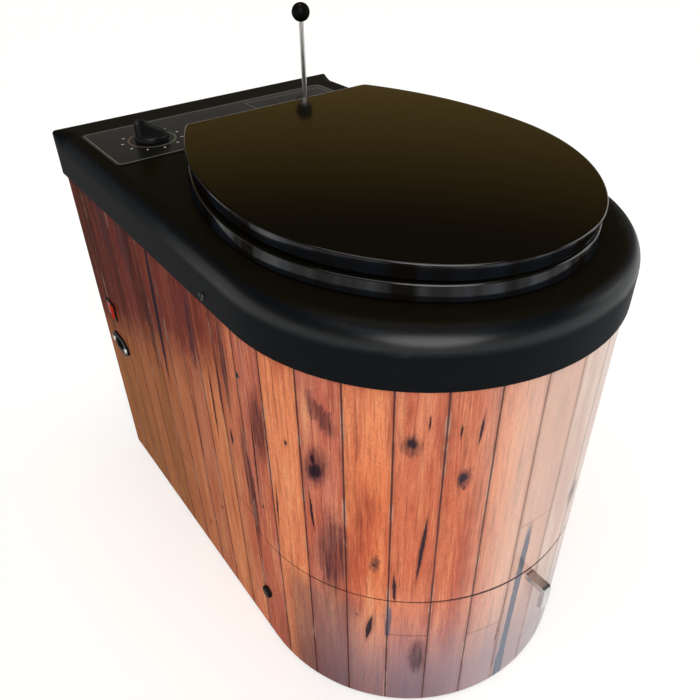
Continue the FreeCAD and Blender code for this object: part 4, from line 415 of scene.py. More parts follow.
def seen_rays(tree):
    """1 for rays of the camera, of reflections and through glass, and 0 for those that light the object."""
    ways = tree.node("ShaderNodeLightPath").socket.node.outputs
    kinds = ("Is Camera Ray", "Is Glossy Ray", "Is Transmission Ray")
    camera, glossy, through = (Value(tree, ways[kind]) for kind in kinds)
    return (camera + glossy + through).low(1)


def shaded(tint, by):
    """A colour made darker by a share."""
    return tuple(part * by for part in tint)


# Pieces

def dress(slot, material):
    """Give the CAD nodes of a slot a material; their meshes stay as they are."""
    for node, name in SLOTS.items():
        if name == slot:
            data = NODES[node].data
            data.materials.clear()
            data.materials.append(material)


def add_piece(name, mesh, body, material=None, stands_for=()):
    """Add a mesh as a piece that rides on a body, takes a slot's finish and may stand for CAD nodes."""
    if material is not None:
        mesh.materials.clear()
        mesh.materials.append(material)
    piece = bpy.data.objects.new(name, mesh)
    bpy.context.scene.collection.objects.link(piece)
    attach(piece, body)
    if stands_for:
        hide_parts(*stands_for)
    return piece


def mesh_from(name, build, smooth_angle=35):
    """A mesh made by build(shape), with its doubles merged, faces turned outwards and smooth by angle."""
    shape = bmesh.new()
    build(shape)
    bmesh.ops.remove_doubles(shape, verts=shape.verts, dist=MERGE)
    bmesh.ops.recalc_face_normals(shape, faces=shape.faces)
    for face in shape.faces:
        face.smooth = True
    for edge in shape.edges:
        if len(edge.link_faces) == 2:
            edge.smooth = edge.calc_face_angle() < math.radians(smooth_angle)
    mesh = bpy.data.meshes.new(name)
    shape.to_mesh(mesh)
    shape.free()
    return mesh


def merged_copy(node):
    """A copy of a CAD node's mesh with its loose triangles joined."""
    copy = bmesh.new()
    copy.from_mesh(NODES[node].data)
    bmesh.ops.remove_doubles(copy, verts=copy.verts, dist=MERGE)
    return copy


def corners(points):
    """Lowest and highest corner of the box round some points."""
    return [Vector([pick(point[axis] for point in points) for axis in range(3)]) for pick in (min, max)]


def turned(shape, profile, centre, steps=64):
    """Spin a profile of (radius, height) about a vertical axis and close its two ends."""
    rings = []
    for radius, height in profile:
        ring = []
        for step in range(steps):
            angle = 2 * math.pi * step / steps
            spot = Vector((radius * math.cos(angle), radius * math.sin(angle), height))
            ring.append(shape.verts.new(centre + spot))
        rings.append(ring)
    join_rings(shape, rings, closed=False)


def lofted(shape, sections, ring=False):
    """Join closed sections of equal point counts into a solid with capped ends, or into a ring."""
    rings = [[shape.verts.new(point) for point in section] for section in sections]
    join_rings(shape, rings, closed=ring)


def join_rings(shape, rings, closed):
    """Faces between neighbouring rings of points, and either caps or faces from the last to the first."""
    for first, second in zip(rings, rings[1:] + rings[:1] if closed else rings[1:]):
        for index in range(len(first)):
            after = (index + 1) % len(first)
            shape.faces.new((first[index], first[after], second[after], second[index]))
    if not closed:
        shape.faces.new(reversed(rings[0]))
        shape.faces.new(rings[-1])


def arc(centre, radius, start, stop, count):
    """Points on an arc from one angle to another, without the last."""
    points = []
    for step in range(count):
        angle = start + (stop - start) * step / count
        x = centre[0] + radius * math.cos(angle)
        y = centre[1] + radius * math.sin(angle)
        points.append(Vector((x, y, 0)))
    return points


def both_sides(right):
    """A closed outline from its right half, which starts at the front middle."""
    return right + [Vector((-point.x, point.y, 0)) for point in reversed(right[1:])]


# Points on each part of the right half of the seat's outline
NOSE_POINTS, SIDE_POINTS, TAIL_POINTS, CORNER_POINTS, REAR_POINTS = 40, 24, 30, 8, 10


def egg_outline(seat, half, front, rear):
    """Outline of the seat and lid: nose arc, side arcs, tail arcs, rear corners and a straight rear edge."""
    nose = half - seat.nose_step
    drop = seat.widest - (front + nose)
    side = half - seat.nose_step / 2 + drop ** 2 / (2 * seat.nose_step)
    touch = math.atan2(-drop, side - half)
    narrow, back = half - seat.rear_width / 2, rear - seat.widest
    tail = (narrow ** 2 + back ** 2) / (2 * narrow)
    end = math.asin(back / tail)
    cut = seat.corner * math.tan((math.pi / 2 - end) / 2)
    heading = Vector((-math.sin(end), math.cos(end), 0))
    bend = Vector((seat.rear_width / 2, rear, 0)) - heading * cut
    middle = bend + Vector((-heading.y, heading.x, 0)) * seat.corner
    right = arc((0, front + nose), nose, -math.pi / 2, touch, NOSE_POINTS)
    right += arc((half - side, seat.widest), side, touch, 0, SIDE_POINTS)
    right += arc((half - tail, seat.widest), tail, 0, end - cut / tail, TAIL_POINTS)
    right += arc(middle, seat.corner, end, math.pi / 2, CORNER_POINTS)
    edge = right[-1].x
    right += [Vector((edge * (1 - step / REAR_POINTS), rear, 0)) for step in range(REAR_POINTS)]
    return both_sides(right)


def hole_outline(seat, count):
    """Outline of the seat's opening, two half rounds, with a given number of points in each half."""
    radius = seat.hole_width / 2
    ahead = radius - seat.hole_front
    behind = ahead + seat.hole_length - seat.hole_width
    right = arc((0, ahead), radius, -math.pi / 2, 0, count // 2)
    return both_sides(right + arc((0, behind), radius, 0, math.pi / 2, count - count // 2))


def rim_profile(thickness, low_rim, high_rim, steps=7):
    """Draw-in and height up the side of a slab with rounded rims, with a narrow flat at each end."""
    flat = 0.4 * MM
    turns = [math.pi / 2 * step / steps for step in range(steps + 1)]
    lower = [(low_rim * (1 - math.sin(turn)), low_rim * (1 - math.cos(turn))) for turn in turns]
    upper = [(high_rim * (1 - math.cos(turn)), thickness - high_rim * (1 - math.sin(turn))) for turn in turns]
    return [(low_rim + flat, 0.0), *lower, *upper, (high_rim + flat, thickness)]


def drawn_in(points, profile, level, leans, rear):
    """The outline at each step of a profile; leans, at its foot and top, fade out towards the rear edge."""
    fade_length = 60 * MM
    tall = max(height for inset, height in profile)
    sections = []
    for inset, height in profile:
        lean = leans[0] + (leans[1] - leans[0]) * height / tall
        section = []
        for index, point in enumerate(points):
            along = points[(index + 1) % len(points)] - points[index - 1]
            outward = Vector((along.y, -along.x, 0)).normalized()
            fade = max(0.0, min(1.0, (rear - point.y) / fade_length))
            spot = point - outward * (inset + lean * fade)
            section.append(spot + Vector((0, 0, level + height)))
        sections.append(section)
    return sections


def front_span(node, level):
    """Lowest and highest corner of what lies ahead of the round front's axis, after a turn to level."""
    spots = [level @ vert.co for vert in NODES[node].data.vertices]
    return corners([spot for spot in spots if spot.y < 0])


def add_hinge_eyes(shape, node, plane_spot, plane_way):
    """Add the part of a CAD node that lies behind a plane, closed at the cut: its hinge eyes."""
    copy = merged_copy(node)
    geometry = [*copy.verts, *copy.edges, *copy.faces]
    cut = bmesh.ops.bisect_plane(copy, geom=geometry, plane_co=plane_spot, plane_no=plane_way,
                                 clear_inner=True)
    rims = [item for item in cut["geom_cut"] if isinstance(item, bmesh.types.BMEdge)]
    bmesh.ops.holes_fill(copy, edges=rims)
    eyes = bpy.data.meshes.new(node + "_eyes")
    copy.to_mesh(eyes)
    copy.free()
    shape.from_mesh(eyes)
    bpy.data.meshes.remove(eyes)


def plain_mesh(name, carrier, tree, inputs):
    """Evaluate a Geometry Nodes tree on a carrier mesh and keep the result as a plain mesh."""
    holder = bpy.data.objects.new(name + "_carrier", carrier)
    bpy.context.scene.collection.objects.link(holder)
    modifier = holder.modifiers.new("maker", "NODES")
    modifier.node_group = tree
    identifiers = {item.name: item.identifier for item in tree.interface.items_tree if item.in_out == "INPUT"}
    for label, value in inputs.items():
        modifier[identifiers[label]] = value
    graph = bpy.context.evaluated_depsgraph_get()
    mesh = bpy.data.meshes.new_from_object(holder.evaluated_get(graph))
    mesh.name = name
    holder.modifiers.remove(modifier)
    bpy.data.objects.remove(holder)
    return mesh


class Maker(NodeTree):
    """A Geometry Nodes tree with named inputs that ends in Realize Instances and Set Material."""

    def __init__(self, name, measures, counts=()):
        tree = bpy.data.node_groups.new(name, "GeometryNodeTree")
        kinds = [("Geometry", "Geometry"), *((label, "Int") for label in counts),
                 *((label, "Float") for label in measures), ("Material", "Material")]
        for label, kind in kinds:
            tree.interface.new_socket(label, in_out="INPUT", socket_type="NodeSocket" + kind)
        tree.interface.new_socket("Geometry", in_out="OUTPUT", socket_type="NodeSocketGeometry")
        super().__init__(tree)
        self.entry = tree.nodes.new("NodeGroupInput")

    def given(self, label):
        return Value(self, self.entry.outputs[label])

    def moved(self, geometry, **sockets):
        return self.node("GeometryNodeTransform", sockets={"Geometry": geometry, **sockets})

    def on_points(self, points, instance, **sockets):
        return self.node("GeometryNodeInstanceOnPoints",
                         sockets={"Points": points, "Instance": instance, **sockets})

    def facing(self, axis, vector):
        """The turn that points an axis along a vector."""
        return self.node("FunctionNodeAlignRotationToVector", {"axis": axis}, {"Vector": vector})

    def end(self, instances):
        solid = self.node("GeometryNodeRealizeInstances", sockets={0: instances})
        finished = self.node("GeometryNodeSetMaterial",
                             sockets={"Geometry": solid, "Material": self.given("Material")})
        self.tree.links.new(finished.socket, self.tree.nodes.new("NodeGroupOutput").inputs[0])
        return self.tree


def point_mesh(name, spots):
    """A mesh of loose points; spots are (place, facing) pairs."""
    mesh = bpy.data.meshes.new(name)
    mesh.from_pydata([place for place, facing in spots], [], [])
    facing = mesh.attributes.new("facing", "FLOAT_VECTOR", "POINT")
    for item, (place, direction) in zip(facing.data, spots):
        item.vector = direction
    return mesh


def screw_tree():
    """Domed heads with a cross recess, one on each point, turned to its facing."""
    maker = Maker("cross_screws",
                  ("Head Radius", "Head Height", "Recess Length", "Recess Width", "Recess Depth"))
    radius, height = maker.given("Head Radius"), maker.given("Head Height")
    dome = maker.node("GeometryNodeMeshUVSphere", sockets={"Segments": 28, "Rings": 14, "Radius": 1})
    head = maker.moved(dome, Scale=maker.join(radius, radius, height))
    recess = maker.node("GeometryNodeMeshBoolean", {"operation": "DIFFERENCE", "solver": "MANIFOLD"},
                        {0: head})
    sides = [maker.given("Recess Length"), maker.given("Recess Width")]
    deep = maker.given("Recess Depth") * 2
    for long, wide in (sides, reversed(sides)):
        bar = maker.node("GeometryNodeMeshCube", sockets={"Size": maker.join(long, wide, deep)})
        slot = maker.moved(bar, Translation=maker.join(z=height))
        maker.tree.links.new(slot.socket, recess.socket.node.inputs[1])
    facing = maker.node("GeometryNodeInputNamedAttribute", {"data_type": "FLOAT_VECTOR"}, {"Name": "facing"})
    return maker.end(maker.on_points(maker.given("Geometry"), recess, Rotation=maker.facing("Z", facing)))


def dial_tree():
    """Flat radial marks along an arc round the point that carries them."""
    maker = Maker("dial_marks", ("Ring", "Mark Length", "Mark Width", "Ink Height", "Start", "Sweep"),
                  counts=("Count",))
    curve = maker.node("GeometryNodeCurveArc", {"mode": "RADIUS"},
                       {"Resolution": maker.given("Count"), "Radius": maker.given("Ring"),
                        "Start Angle": maker.given("Start"), "Sweep Angle": maker.given("Sweep")})
    dots = maker.node("GeometryNodeCurveToPoints", {"mode": "EVALUATED"}, {"Curve": curve})
    size = maker.join(*(maker.given(label) for label in ("Mark Length", "Mark Width", "Ink Height")))
    mark = maker.node("GeometryNodeMeshCube", sockets={"Size": size})
    outward = maker.node("GeometryNodeInputPosition")
    ring = maker.on_points(dots, mark, Rotation=maker.facing("X", outward))
    flat = maker.node("GeometryNodeRealizeInstances", sockets={0: ring})
    return maker.end(maker.on_points(maker.given("Geometry"), flat))


# Plank print

# Tone of each plank, counted from the one in front of the middle, leftwards below zero; the paleness of the blush
# and rose planks 1 and 2, right of the front, is painted reflection
PLANK_TONES = {
    -15: "umber", -14: "russet", -13: "umber", -12: "russet", -11: "orange", -10: "russet", -9: "amber",
    -8: "orange", -7: "russet", -6: "amber", -5: "russet", -4: "amber", -3: "orange", -2: "orange",
    -1: "amber", 0: "orange", 1: "blush", 2: "rose", 3: "orange", 4: "russet", 5: "amber", 6: "orange",
    7: "umber", 8: "orange", 9: "rose", 10: "russet", 11: "tan", 12: "amber", 13: "russet", 14: "tan",
    15: "russet",
}
# Noises of the whole print: scale across the planks and along them, seed, detail and roughness
RAGGED_NOISE = (150, 48, 3.0, 5, 0.62)
FINE_NOISE = (520, 170, 9.0, 4, 0.65)
WEAR_NOISE = (34, 14, 5.0, 5, 0.55)
# Noises of one board: scale across it and along it, step of the seed, detail and roughness
BOARD_NOISES = {
    "drift": (40, 5, 0, 4, 0.55),
    "cloud": (75, 8, 2, 4, 0.55),
    "grain": (330, 11, 0, 5, 0.62),
    "fibre": (900, 36, 0, 4, 0.65),
    "pores": (1300, 80, 0, 3, 0.70),
    "mottle": (620, 330, 0, 3, 0.65),
}
# Layers of colour on a board, in order: noise, where the layer starts and is full, weight and tint
BOARD_LAYERS = (
    ("drift", 0.42, 0.64, 0.88, "ember"),
    ("cloud", 0.54, 0.76, 0.50, "umber"),
    ("cloud", 0.46, 0.26, 0.45, "gold"),
    ("grain", 0.53, 0.72, 0.40, "gold"),
    ("grain", 0.48, 0.30, 0.52, "umber"),
    ("fibre", 0.53, 0.70, 0.36, "gold"),
    ("fibre", 0.48, 0.30, 0.48, "umber"),
    ("pores", 0.54, 0.72, 0.36, "umber"),
    ("mottle", 0.50, 0.72, 0.34, "umber"),
)
# Step of the noise's seed from one board to the next
BOARD_SEED = 7.31
# Marks of the print in millimetres and degrees: run from the front middle, height, half sizes and lean
CRACKS = (
    (-123, 265, 1.9, 46, 4), (-146, 206, 1.7, 22, -2), (-170, 134, 2.9, 22, 8), (-226, 286, 1.3, 26, -4),
    (-83, 405, 1.2, 16, 4), (-124, 417, 0.8, 8, 0), (-99, 407, 0.8, 8, 0), (-380, 316, 1.8, 50, 2),
    (-358, 352, 2.0, 36, 2), (-498, 372, 5.2, 112, 4), (-347, 297, 2.2, 10, 0), (-311, 244, 1.3, 7, 0),
    (-436, 250, 1.0, 60, 2), (-530, 330, 1.4, 80, 3), (-30, 105, 0.8, 30, 2), (-270, 262, 1.0, 30, 2),
    (-300, 300, 1.2, 70, 2), (210, 300, 1.9, 45, 2), (318, 210, 1.7, 36, -2), (96, 340, 1.3, 20, 3),
    (430, 330, 2.2, 60, 2), (545, 180, 1.8, 50, -3),
)
KNOTS = (
    (-220, 341, 5.6, 9.5, 25), (-222, 355, 2.2, 8.0, -12), (-250, 359, 2.0, 3.0, 0),
    (-137, 395, 4.0, 5.8, -15), (-93, 354, 3.8, 5.8, 10), (-91, 341, 1.2, 1.8, 0), (-166, 238, 1.2, 1.6, 0),
    (-624, 399, 2.0, 4.0, 0), (60, 250, 4.4, 6.4, 15), (262, 372, 6.0, 8.0, -10), (470, 150, 5.0, 7.0, 10),
    (-408, 134, 1.8, 3.0, 0), (-460, 60, 2.0, 3.2, 0), (-296, 240, 1.8, 3.0, 0), (-182, 152, 0.9, 1.8, 0),
)
STAINS = (
    (-219, 346, 13, 28, 14), (-212, 408, 9, 24, -30), (-206, 234, 18, 66, 3), (-202, 276, 9, 12, -30),
    (-137, 393, 9, 13, 0), (-286, 352, 13, 46, 0), (-318, 250, 10, 90, -2), (-408, 393, 8, 52, 4),
    (-340, 396, 6, 70, 2), (-569, 439, 15, 60, 0), (-626, 433, 12, 60, 0), (-92, 354, 7, 11, 0),
    (-120, 90, 10, 34, 0), (60, 250, 13, 20, 0), (262, 372, 16, 30, 0), (470, 150, 14, 26, 0),
    (360, 420, 12, 70, 0), (-165, 238, 5, 12, 0),
)
# Painted blue reflections near the drawer pull, given like the marks above
PAINTED_BLUE_REFLECTIONS = ((-16, 126, 4.4, 136, 1), (-18, 20, 6.5, 34, 0), (-151, 150, 3.0, 26, 1))
# Butt joints: plank and height in millimetres
BUTT_JOINTS = (
    (0, 265), (-3, 128), (-1, 118), (-5, 186), (-8, 205), (-12, 140), (3, 330), (6, 150), (10, 300),
)
# Powers that give a mark pointed ends, or square ones
POINTED, SQUARE = (1, 2), (4, 4)
# How far the coarse and the fine noise move the edges of stains and knots, and of cracks and painted blue
# reflections
TORN, WORN = (11 * MM, 4 * MM), (2.6 * MM, 2.2 * MM)
# Edges move this much further along the grain than across it
ALONG_GRAIN = 3

# Zones of tints, painted shade and painted reflection by distance from the front middle, below zero: where each
# starts and is full, in metres
SIDE_ZONE, REAR_ZONE, ROUND_ZONE = (-0.315, -0.36), (-0.37, -0.58), (-0.29, -0.12)
# The painted shade on the upper part of the sides ends on a sloping ragged line through this distance and height;
# below it a painted reflection tints the sides tan
DARK_DISTANCE, DARK_HEIGHT, DARK_SLOPE = 0.394, 0.352, 0.394
DARK_EDGE, DARK_RAGGED = 0.055, 0.10
# Zones of tints, painted reflection, painted shade, a painted shadow and varnish by run along the wrap and by
# height: a rise, and a fall where there is one, in metres
PAINTED_SHEEN_RUN = (-0.10, -0.02), (0.30, 0.12)
RED_RUN = (-0.21, -0.17), (-0.05, -0.09)
RED_HEIGHT = (0.43, 0.31), (0.17, 0.23)
LOW_GREY_RUN = (-0.275, -0.25), (-0.165, -0.195)
LOW_GREY_HEIGHT = (0.20, 0.15)
PAINTED_HAZE_HEIGHT = (0.205, 0.035)
PAINTED_FOOT_SHADE_RUN = (-0.32, -0.25), (-0.03, -0.12)
PAINTED_FOOT_SHADE_HEIGHT = (0.16, 0.0)
SEAM_SHADOW_RUN = (-0.16, -0.04), (0.16, 0.04)
VARNISH_RUN = (-0.24, 0.03), (0.34, 0.22)


def mark_field(finish, vector, marks, powers=None):
    """Reach from the nearest mark, 1 on its rim; marks are ovals unless powers shape their ends."""
    nearest = None
    for run, height, half_width, half_height, lean in marks:
        local = finish.node("ShaderNodeMapping", {"vector_type": "TEXTURE"},
                            {"Vector": vector, "Location": (run * MM, height * MM, 0),
                             "Rotation": (0, 0, math.radians(-lean)),
                             "Scale": (half_width * MM, half_height * MM, 1)})
        if powers:
            bent = finish.vector_math("POWER", finish.vector_math("ABSOLUTE", local), (*powers, 1))
            reach = finish.vector_math("DOT_PRODUCT", bent, (1, 1, 0), output="Value")
        else:
            reach = finish.vector_math("LENGTH", local, output="Value")
        nearest = reach if nearest is None else nearest.low(reach)
    return nearest


def wrap_noise(finish, run, z, across, along, seed, detail, roughness):
    """Noise on the run along the wrap and the height, with a scale for each."""
    return finish.noise(finish.join(run * across, z * along, seed), detail=detail, roughness=roughness)


def plank_grain(finish, settings, tone, run, z, seed):
    """Colour of one board with its drifts, clouds, grain, pores and mottle, and the grain alone."""
    noises = {}
    for name, (across, along, step, detail, roughness) in BOARD_NOISES.items():
        noises[name] = wrap_noise(finish, run, z, across, along, seed + step, detail, roughness)
    wood = tone
    for name, start, full, weight, tint in BOARD_LAYERS:
        wood = finish.mix(noises[name].ease(start, full) * weight, wood, getattr(settings, tint))
    return wood, noises["grain"]


def plank_tints_and_painted_light(finish, settings, wood, run, z, ragged):
    """Painted shade on the upper sides and painted reflection tinting the lower sides tan, then the painted sheen,
    red, greyer low, painted haze and painted shade parts of the round front.
    """
    far = -abs(run)
    uneven = ragged - 0.5
    side, rear = far.ease(*SIDE_ZONE), far.ease(*REAR_ZONE)
    line = (far + DARK_DISTANCE) * DARK_SLOPE + DARK_HEIGHT
    above = (z - line + uneven * DARK_RAGGED).ease(-DARK_EDGE, DARK_EDGE)
    # Painted shade darkens the sides above the line, and painted reflection tints them tan below it
    wood = finish.mix(side * above * 0.96, wood, settings.upper_painted_shade, "MULTIPLY")
    wood = finish.mix(side * (1 - above) * (0.32 + 0.36 * rear), wood, settings.tan)
    wood = finish.mix(rear * 0.7, wood, settings.rear_shade, "MULTIPLY")
    # Painted sheen pales the planks right of the front
    painted_sheen = run.within(*PAINTED_SHEEN_RUN) * (0.85 + 0.30 * uneven)
    wood = finish.mix(painted_sheen * 0.62, wood, settings.painted_sheen_tint)
    red = z.within(*RED_HEIGHT) * run.within(*RED_RUN) * (0.15 + 0.9 * ragged)
    wood = finish.mix(red, wood, settings.red_shade, "MULTIPLY")
    # Greyer low planks left of the middle
    low_greying = z.ease(*LOW_GREY_HEIGHT) * run.within(*LOW_GREY_RUN) * (0.35 + 0.65 * ragged)
    wood = finish.mix(low_greying * 0.85, wood, settings.low_grey)
    # Painted reflection greys the round front towards the foot
    painted_haze = z.ease(*PAINTED_HAZE_HEIGHT) * far.ease(*ROUND_ZONE) * (0.70 + 0.30 * ragged)
    wood = finish.mix(painted_haze * 0.92, wood, settings.painted_haze_tint)
    # Painted shade darkens the foot left of the middle
    dim = z.ease(*PAINTED_FOOT_SHADE_HEIGHT) * run.within(*PAINTED_FOOT_SHADE_RUN)
    return finish.mix(dim * 0.85, wood, settings.foot_painted_shade, "MULTIPLY")


def plank_marks(finish, settings, wood, run, z, ragged, grain):
    """Stains, painted blue reflections, knots with rings and cracks, all with torn edges."""
    coarse = ragged - 0.5
    fine = wrap_noise(finish, run, z, *FINE_NOISE) - 0.5
    drift, slight = (coarse * reach[0] + fine * reach[1] for reach in (TORN, WORN))
    torn, worn = (finish.join(run + shift, z + shift * ALONG_GRAIN) for shift in (drift, slight))
    stained = mark_field(finish, torn, STAINS).ease(1.25, 0.45) * (0.60 + 0.40 * grain.ease(0.62, 0.36))
    wood = finish.mix(stained * 0.88, wood, settings.stain)
    # Painted blue reflections near the drawer pull
    blue_reflection = mark_field(finish, worn, PAINTED_BLUE_REFLECTIONS, SQUARE).ease(1.3, 0.5)
    wood = finish.mix(blue_reflection * 0.86, wood, settings.blue_reflection)
    knot = mark_field(finish, finish.join(run + drift * 0.7, z - drift * 1.2), KNOTS)
    ring = (knot * 3.5).math("PINGPONG", 1).ease(0.50, 0.95) * knot.ease(3.0, 1.0)
    wood = finish.mix(ring * 0.36, wood, settings.umber)
    wood = finish.mix(knot.ease(1.45, 0.55) * 0.92, wood, settings.crack)
    cracked = mark_field(finish, worn, CRACKS, POINTED)
    wood = finish.mix(cracked.ease(2.6, 0.9) * 0.40, wood, settings.umber)
    return finish.mix(cracked.ease(1.20, 0.70) * 0.95, wood, settings.crack)


def plank_joints(finish, settings, wood, across, column, z, run, ragged):
    """Thin lines between the planks, some with a pale worn edge, butt joints, and a painted shadow line along the
    drawer's seam.
    """
    from_left = across - column
    rim = from_left.low(1 - from_left) * settings.pitch + (ragged - 0.5) * (1.1 * MM)
    wear = wrap_noise(finish, run, z, *WEAR_NOISE)
    pale = rim.ease(2.4 * MM, 1.2 * MM) * wear.ease(0.52, 0.62) * 0.55
    wood = finish.mix(pale, wood, settings.worn)
    wood = finish.mix(rim.ease(5 * MM, 0.5 * MM) * 0.30, wood, settings.umber)
    joint = 1 - (rim - settings.joint_width * (0.2 + 1.2 * wear)).ease(0, 0.7 * MM)
    for index, height in BUTT_JOINTS:
        same = abs(column - index) < 0.5
        near = abs(z - height * MM).ease(1.2 * MM, 0.4 * MM)
        joint = joint.high(same * near * 0.6)
    # Painted shadow line along the drawer's seam; the joints fade right of the front, part of the painted sheen
    # there
    seam = abs(z - SEAM).ease(2.1 * MM, 1.0 * MM) * run.within(*SEAM_SHADOW_RUN)
    joint = (joint * (0.86 - 0.5 * run.ease(-0.09, 0.02))).high(seam * 0.9)
    return finish.mix(joint, wood, settings.joint)


def plank_print(settings):
    """Printed planks round the cabinet under varnish of uneven thickness, on a sheet whose back is bare."""
    finish = Finish("plank_print")
    x, y, z = finish.split(finish.place)
    front = y.low(0)
    # Run along the wrap from the front middle: round the front, then straight back
    run = x.math("ARCTAN2", -front) * HALF + x.math("SIGN") * y.high(0)
    reach = (x * x + front * front).math("SQRT")
    across = (run - settings.first_joint) / settings.pitch
    column = across.floor()
    first, count = min(PLANK_TONES), len(PLANK_TONES)
    stops = [((index - first) / count, getattr(settings, tone)) for index, tone in PLANK_TONES.items()]
    tone = finish.ramp((column - (first - 0.5)) / count, stops, "CONSTANT")
    ragged = wrap_noise(finish, run, z, *RAGGED_NOISE)
    wood, grain = plank_grain(finish, settings, tone, run, z, column * BOARD_SEED)
    wood = plank_tints_and_painted_light(finish, settings, wood, run, z, ragged)
    wood = plank_marks(finish, settings, wood, run, z, ragged, grain)
    wood = plank_joints(finish, settings, wood, across, column, z, run, ragged)
    # The cut edge of the sheet is painted dark as shadow, and its inner face bare
    printed = reach > HALF - SHEET / 8
    inside = reach < HALF - SHEET * 0.9
    wood = finish.mix(printed, settings.joint, wood)
    varnish = settings.side_coat + (settings.front_coat - settings.side_coat) * run.within(*VARNISH_RUN)
    return finish.coated(varnish * printed, 0.12, Base_Color=finish.mix(inside, wood, settings.backing),
                         Roughness=0.45 + 0.2 * ragged,
                         Normal=finish.bump(finish.grit(420, 1), 0.04, 0.2 * MM))


# Black mouldings and the label

def cover_black(settings):
    """Formed cover: fine leather grain, scuffs, a rubbed sheen on the shoulder, a glossier right side, a painted
    warm reflection on the flat top and a painted blue highlight on the right side.
    """
    finish = Finish("cover_black")
    x, y = finish.split(finish.place)[:2]
    upward = finish.upward()
    grain = finish.grit(1500, 2)
    scuff = finish.noise(finish.stretch(60, 60, 220), detail=4).ease(0.60, 0.74)
    flat_top, side, skirt = upward.ease(0.75, 0.97), upward.ease(0.8, 0.4), upward.ease(0.40, 0.15)
    shade = finish.mix(scuff * 0.22, settings.cover, settings.scuff)
    # Painted warm reflection on the flat top and painted blue highlight on the right side
    shade = finish.mix(flat_top, shade, settings.deck)
    shade = finish.mix(x.ease(-0.12, 0.20) * side, shade, settings.painted_sheen)
    rubbed = upward.within((0.03, 0.30), (0.85, 0.55)) * y.ease(0.18, -0.06)
    wiped = x.ease(0.03, 0.18) * skirt * y.ease(0.12, 0.0)
    return finish.coated(0.09 + 0.52 * rubbed + 0.5 * wiped, 0.28, Base_Color=shade,
                         Roughness=settings.cover_roughness + 0.10 * scuff + 0.05 * grain,
                         Normal=finish.bump(grain, 0.10, 0.15 * MM))


def seat_lacquer(settings):
    """Moulded seat and lid under lacquer, with soft clouds, wipe marks, rims glossier in places and painted blue
    reflection in bars round the rims.
    """
    finish = Finish("seat_lacquer")
    x, y = finish.split(finish.place)[:2]
    level = abs(finish.upward())
    cloud = finish.grit(7, 3)
    wipe = finish.noise(finish.stretch(14, 90, 40), detail=4).ease(0.56, 0.70)
    around = x.math("ARCTAN2", -y)
    reflection_bars = finish.noise(finish.join(around * 4.5, 4.0), detail=2, roughness=0.5).ease(0.36, 0.66)
    wall = level.ease(0.6, 0.3)
    shade = finish.mix(cloud, settings.seat, settings.cloud)
    # Painted blue reflection on the walls, in bars round the rims
    shade = finish.mix(wall * reflection_bars, shade, settings.rim)
    # Dull between the reflection bars on the walls and on the rounded rims towards the rear
    lacquer = 1 - wall * (1 - 0.95 * reflection_bars) - level.ease(0.97, 0.75) * y.ease(0, 0.15)
    return finish.coated(lacquer.high(0.05), 0.10, Base_Color=shade,
                         Roughness=settings.seat_roughness + 0.05 * wipe + 0.04 * cloud,
                         Normal=finish.bump(finish.grit(160, 1), 0.03, 0.3 * MM))


def fitting_black(settings):
    """Injection moulded fittings with a light spark finish."""
    finish = Finish("fitting_black")
    spark = finish.grit(2400, 1)
    worn = finish.grit(140, 4).ease(0.58, 0.74)
    return finish.coated(0.20 - 0.1 * worn, 0.25,
                         Base_Color=finish.mix(worn * 0.35, settings.fitting, settings.rubbed),
                         Roughness=0.33 + 0.12 * worn + 0.04 * spark,
                         Normal=finish.bump(spark, 0.08, 0.1 * MM))


def outline_mask(x, y, low, high, corner, width):
    """A thin line round a rectangle with rounded corners."""
    over = []
    for place, start, stop in zip((x, y), low, high):
        over.append(abs(place - (start + stop) / 2) - ((stop - start) / 2 - corner))
    out_x, out_y = (past.high(0) for past in over)
    away = (out_x * out_x + out_y * out_y).math("SQRT") + over[0].high(over[1]).low(0) - corner
    return abs(away).ease(width, width * 0.5)


# Label print, in metres: inset and corner of the border, and corners of the bare framed panel
BORDER_INSET, BORDER_CORNER = 3.2 * MM, 6 * MM
PANEL_LOW, PANEL_HIGH = (0.034, 0.292), (0.146, 0.374)
# Radius of the dark disc under the knob
DISC = 24 * MM
# Tints of the dial from its left to its right side
DIAL_TINTS = (
    (0.0, (0.16, 0.062, 0.050)), (0.42, (0.17, 0.155, 0.13)),
    (0.62, (0.16, 0.165, 0.13)), (1.0, (0.10, 0.155, 0.065)),
)


def label_film(settings):
    """Printed film: olive grey ground, a border line, a dark disc under the knob and a bare framed panel."""
    finish = Finish("label_film")
    x, y = finish.split(finish.place)[:2]
    border = outline_mask(x, y, (LABEL_LOW.x + BORDER_INSET, LABEL_LOW.y + BORDER_INSET),
                          (LABEL_HIGH.x - BORDER_INSET, LABEL_HIGH.y - BORDER_INSET),
                          BORDER_CORNER, 0.75 * MM)
    panel = outline_mask(x, y, PANEL_LOW, PANEL_HIGH, 1.5 * MM, 0.8 * MM)
    weave = finish.grit(1800, 1)
    haze = finish.noise(finish.stretch(9, 14, 1), detail=3)
    ground = finish.mix(haze, settings.film, settings.haze)
    from_knob = finish.vector_math("DISTANCE", finish.join(x, y), (KNOB_AXIS.x, KNOB_AXIS.y, 0),
                                   output="Value")
    ground = finish.mix(from_knob.ease(DISC, DISC - 0.5 * MM) * 0.75, ground, settings.disc)
    shade = finish.mix(border * 0.50 + panel * 0.42, ground, settings.ink)
    return finish.surface(Base_Color=shade, Roughness=0.30 + 0.06 * weave + 0.06 * haze,
                          Specular_IOR_Level=0.05, Normal=finish.bump(weave, 0.05, 0.1 * MM))


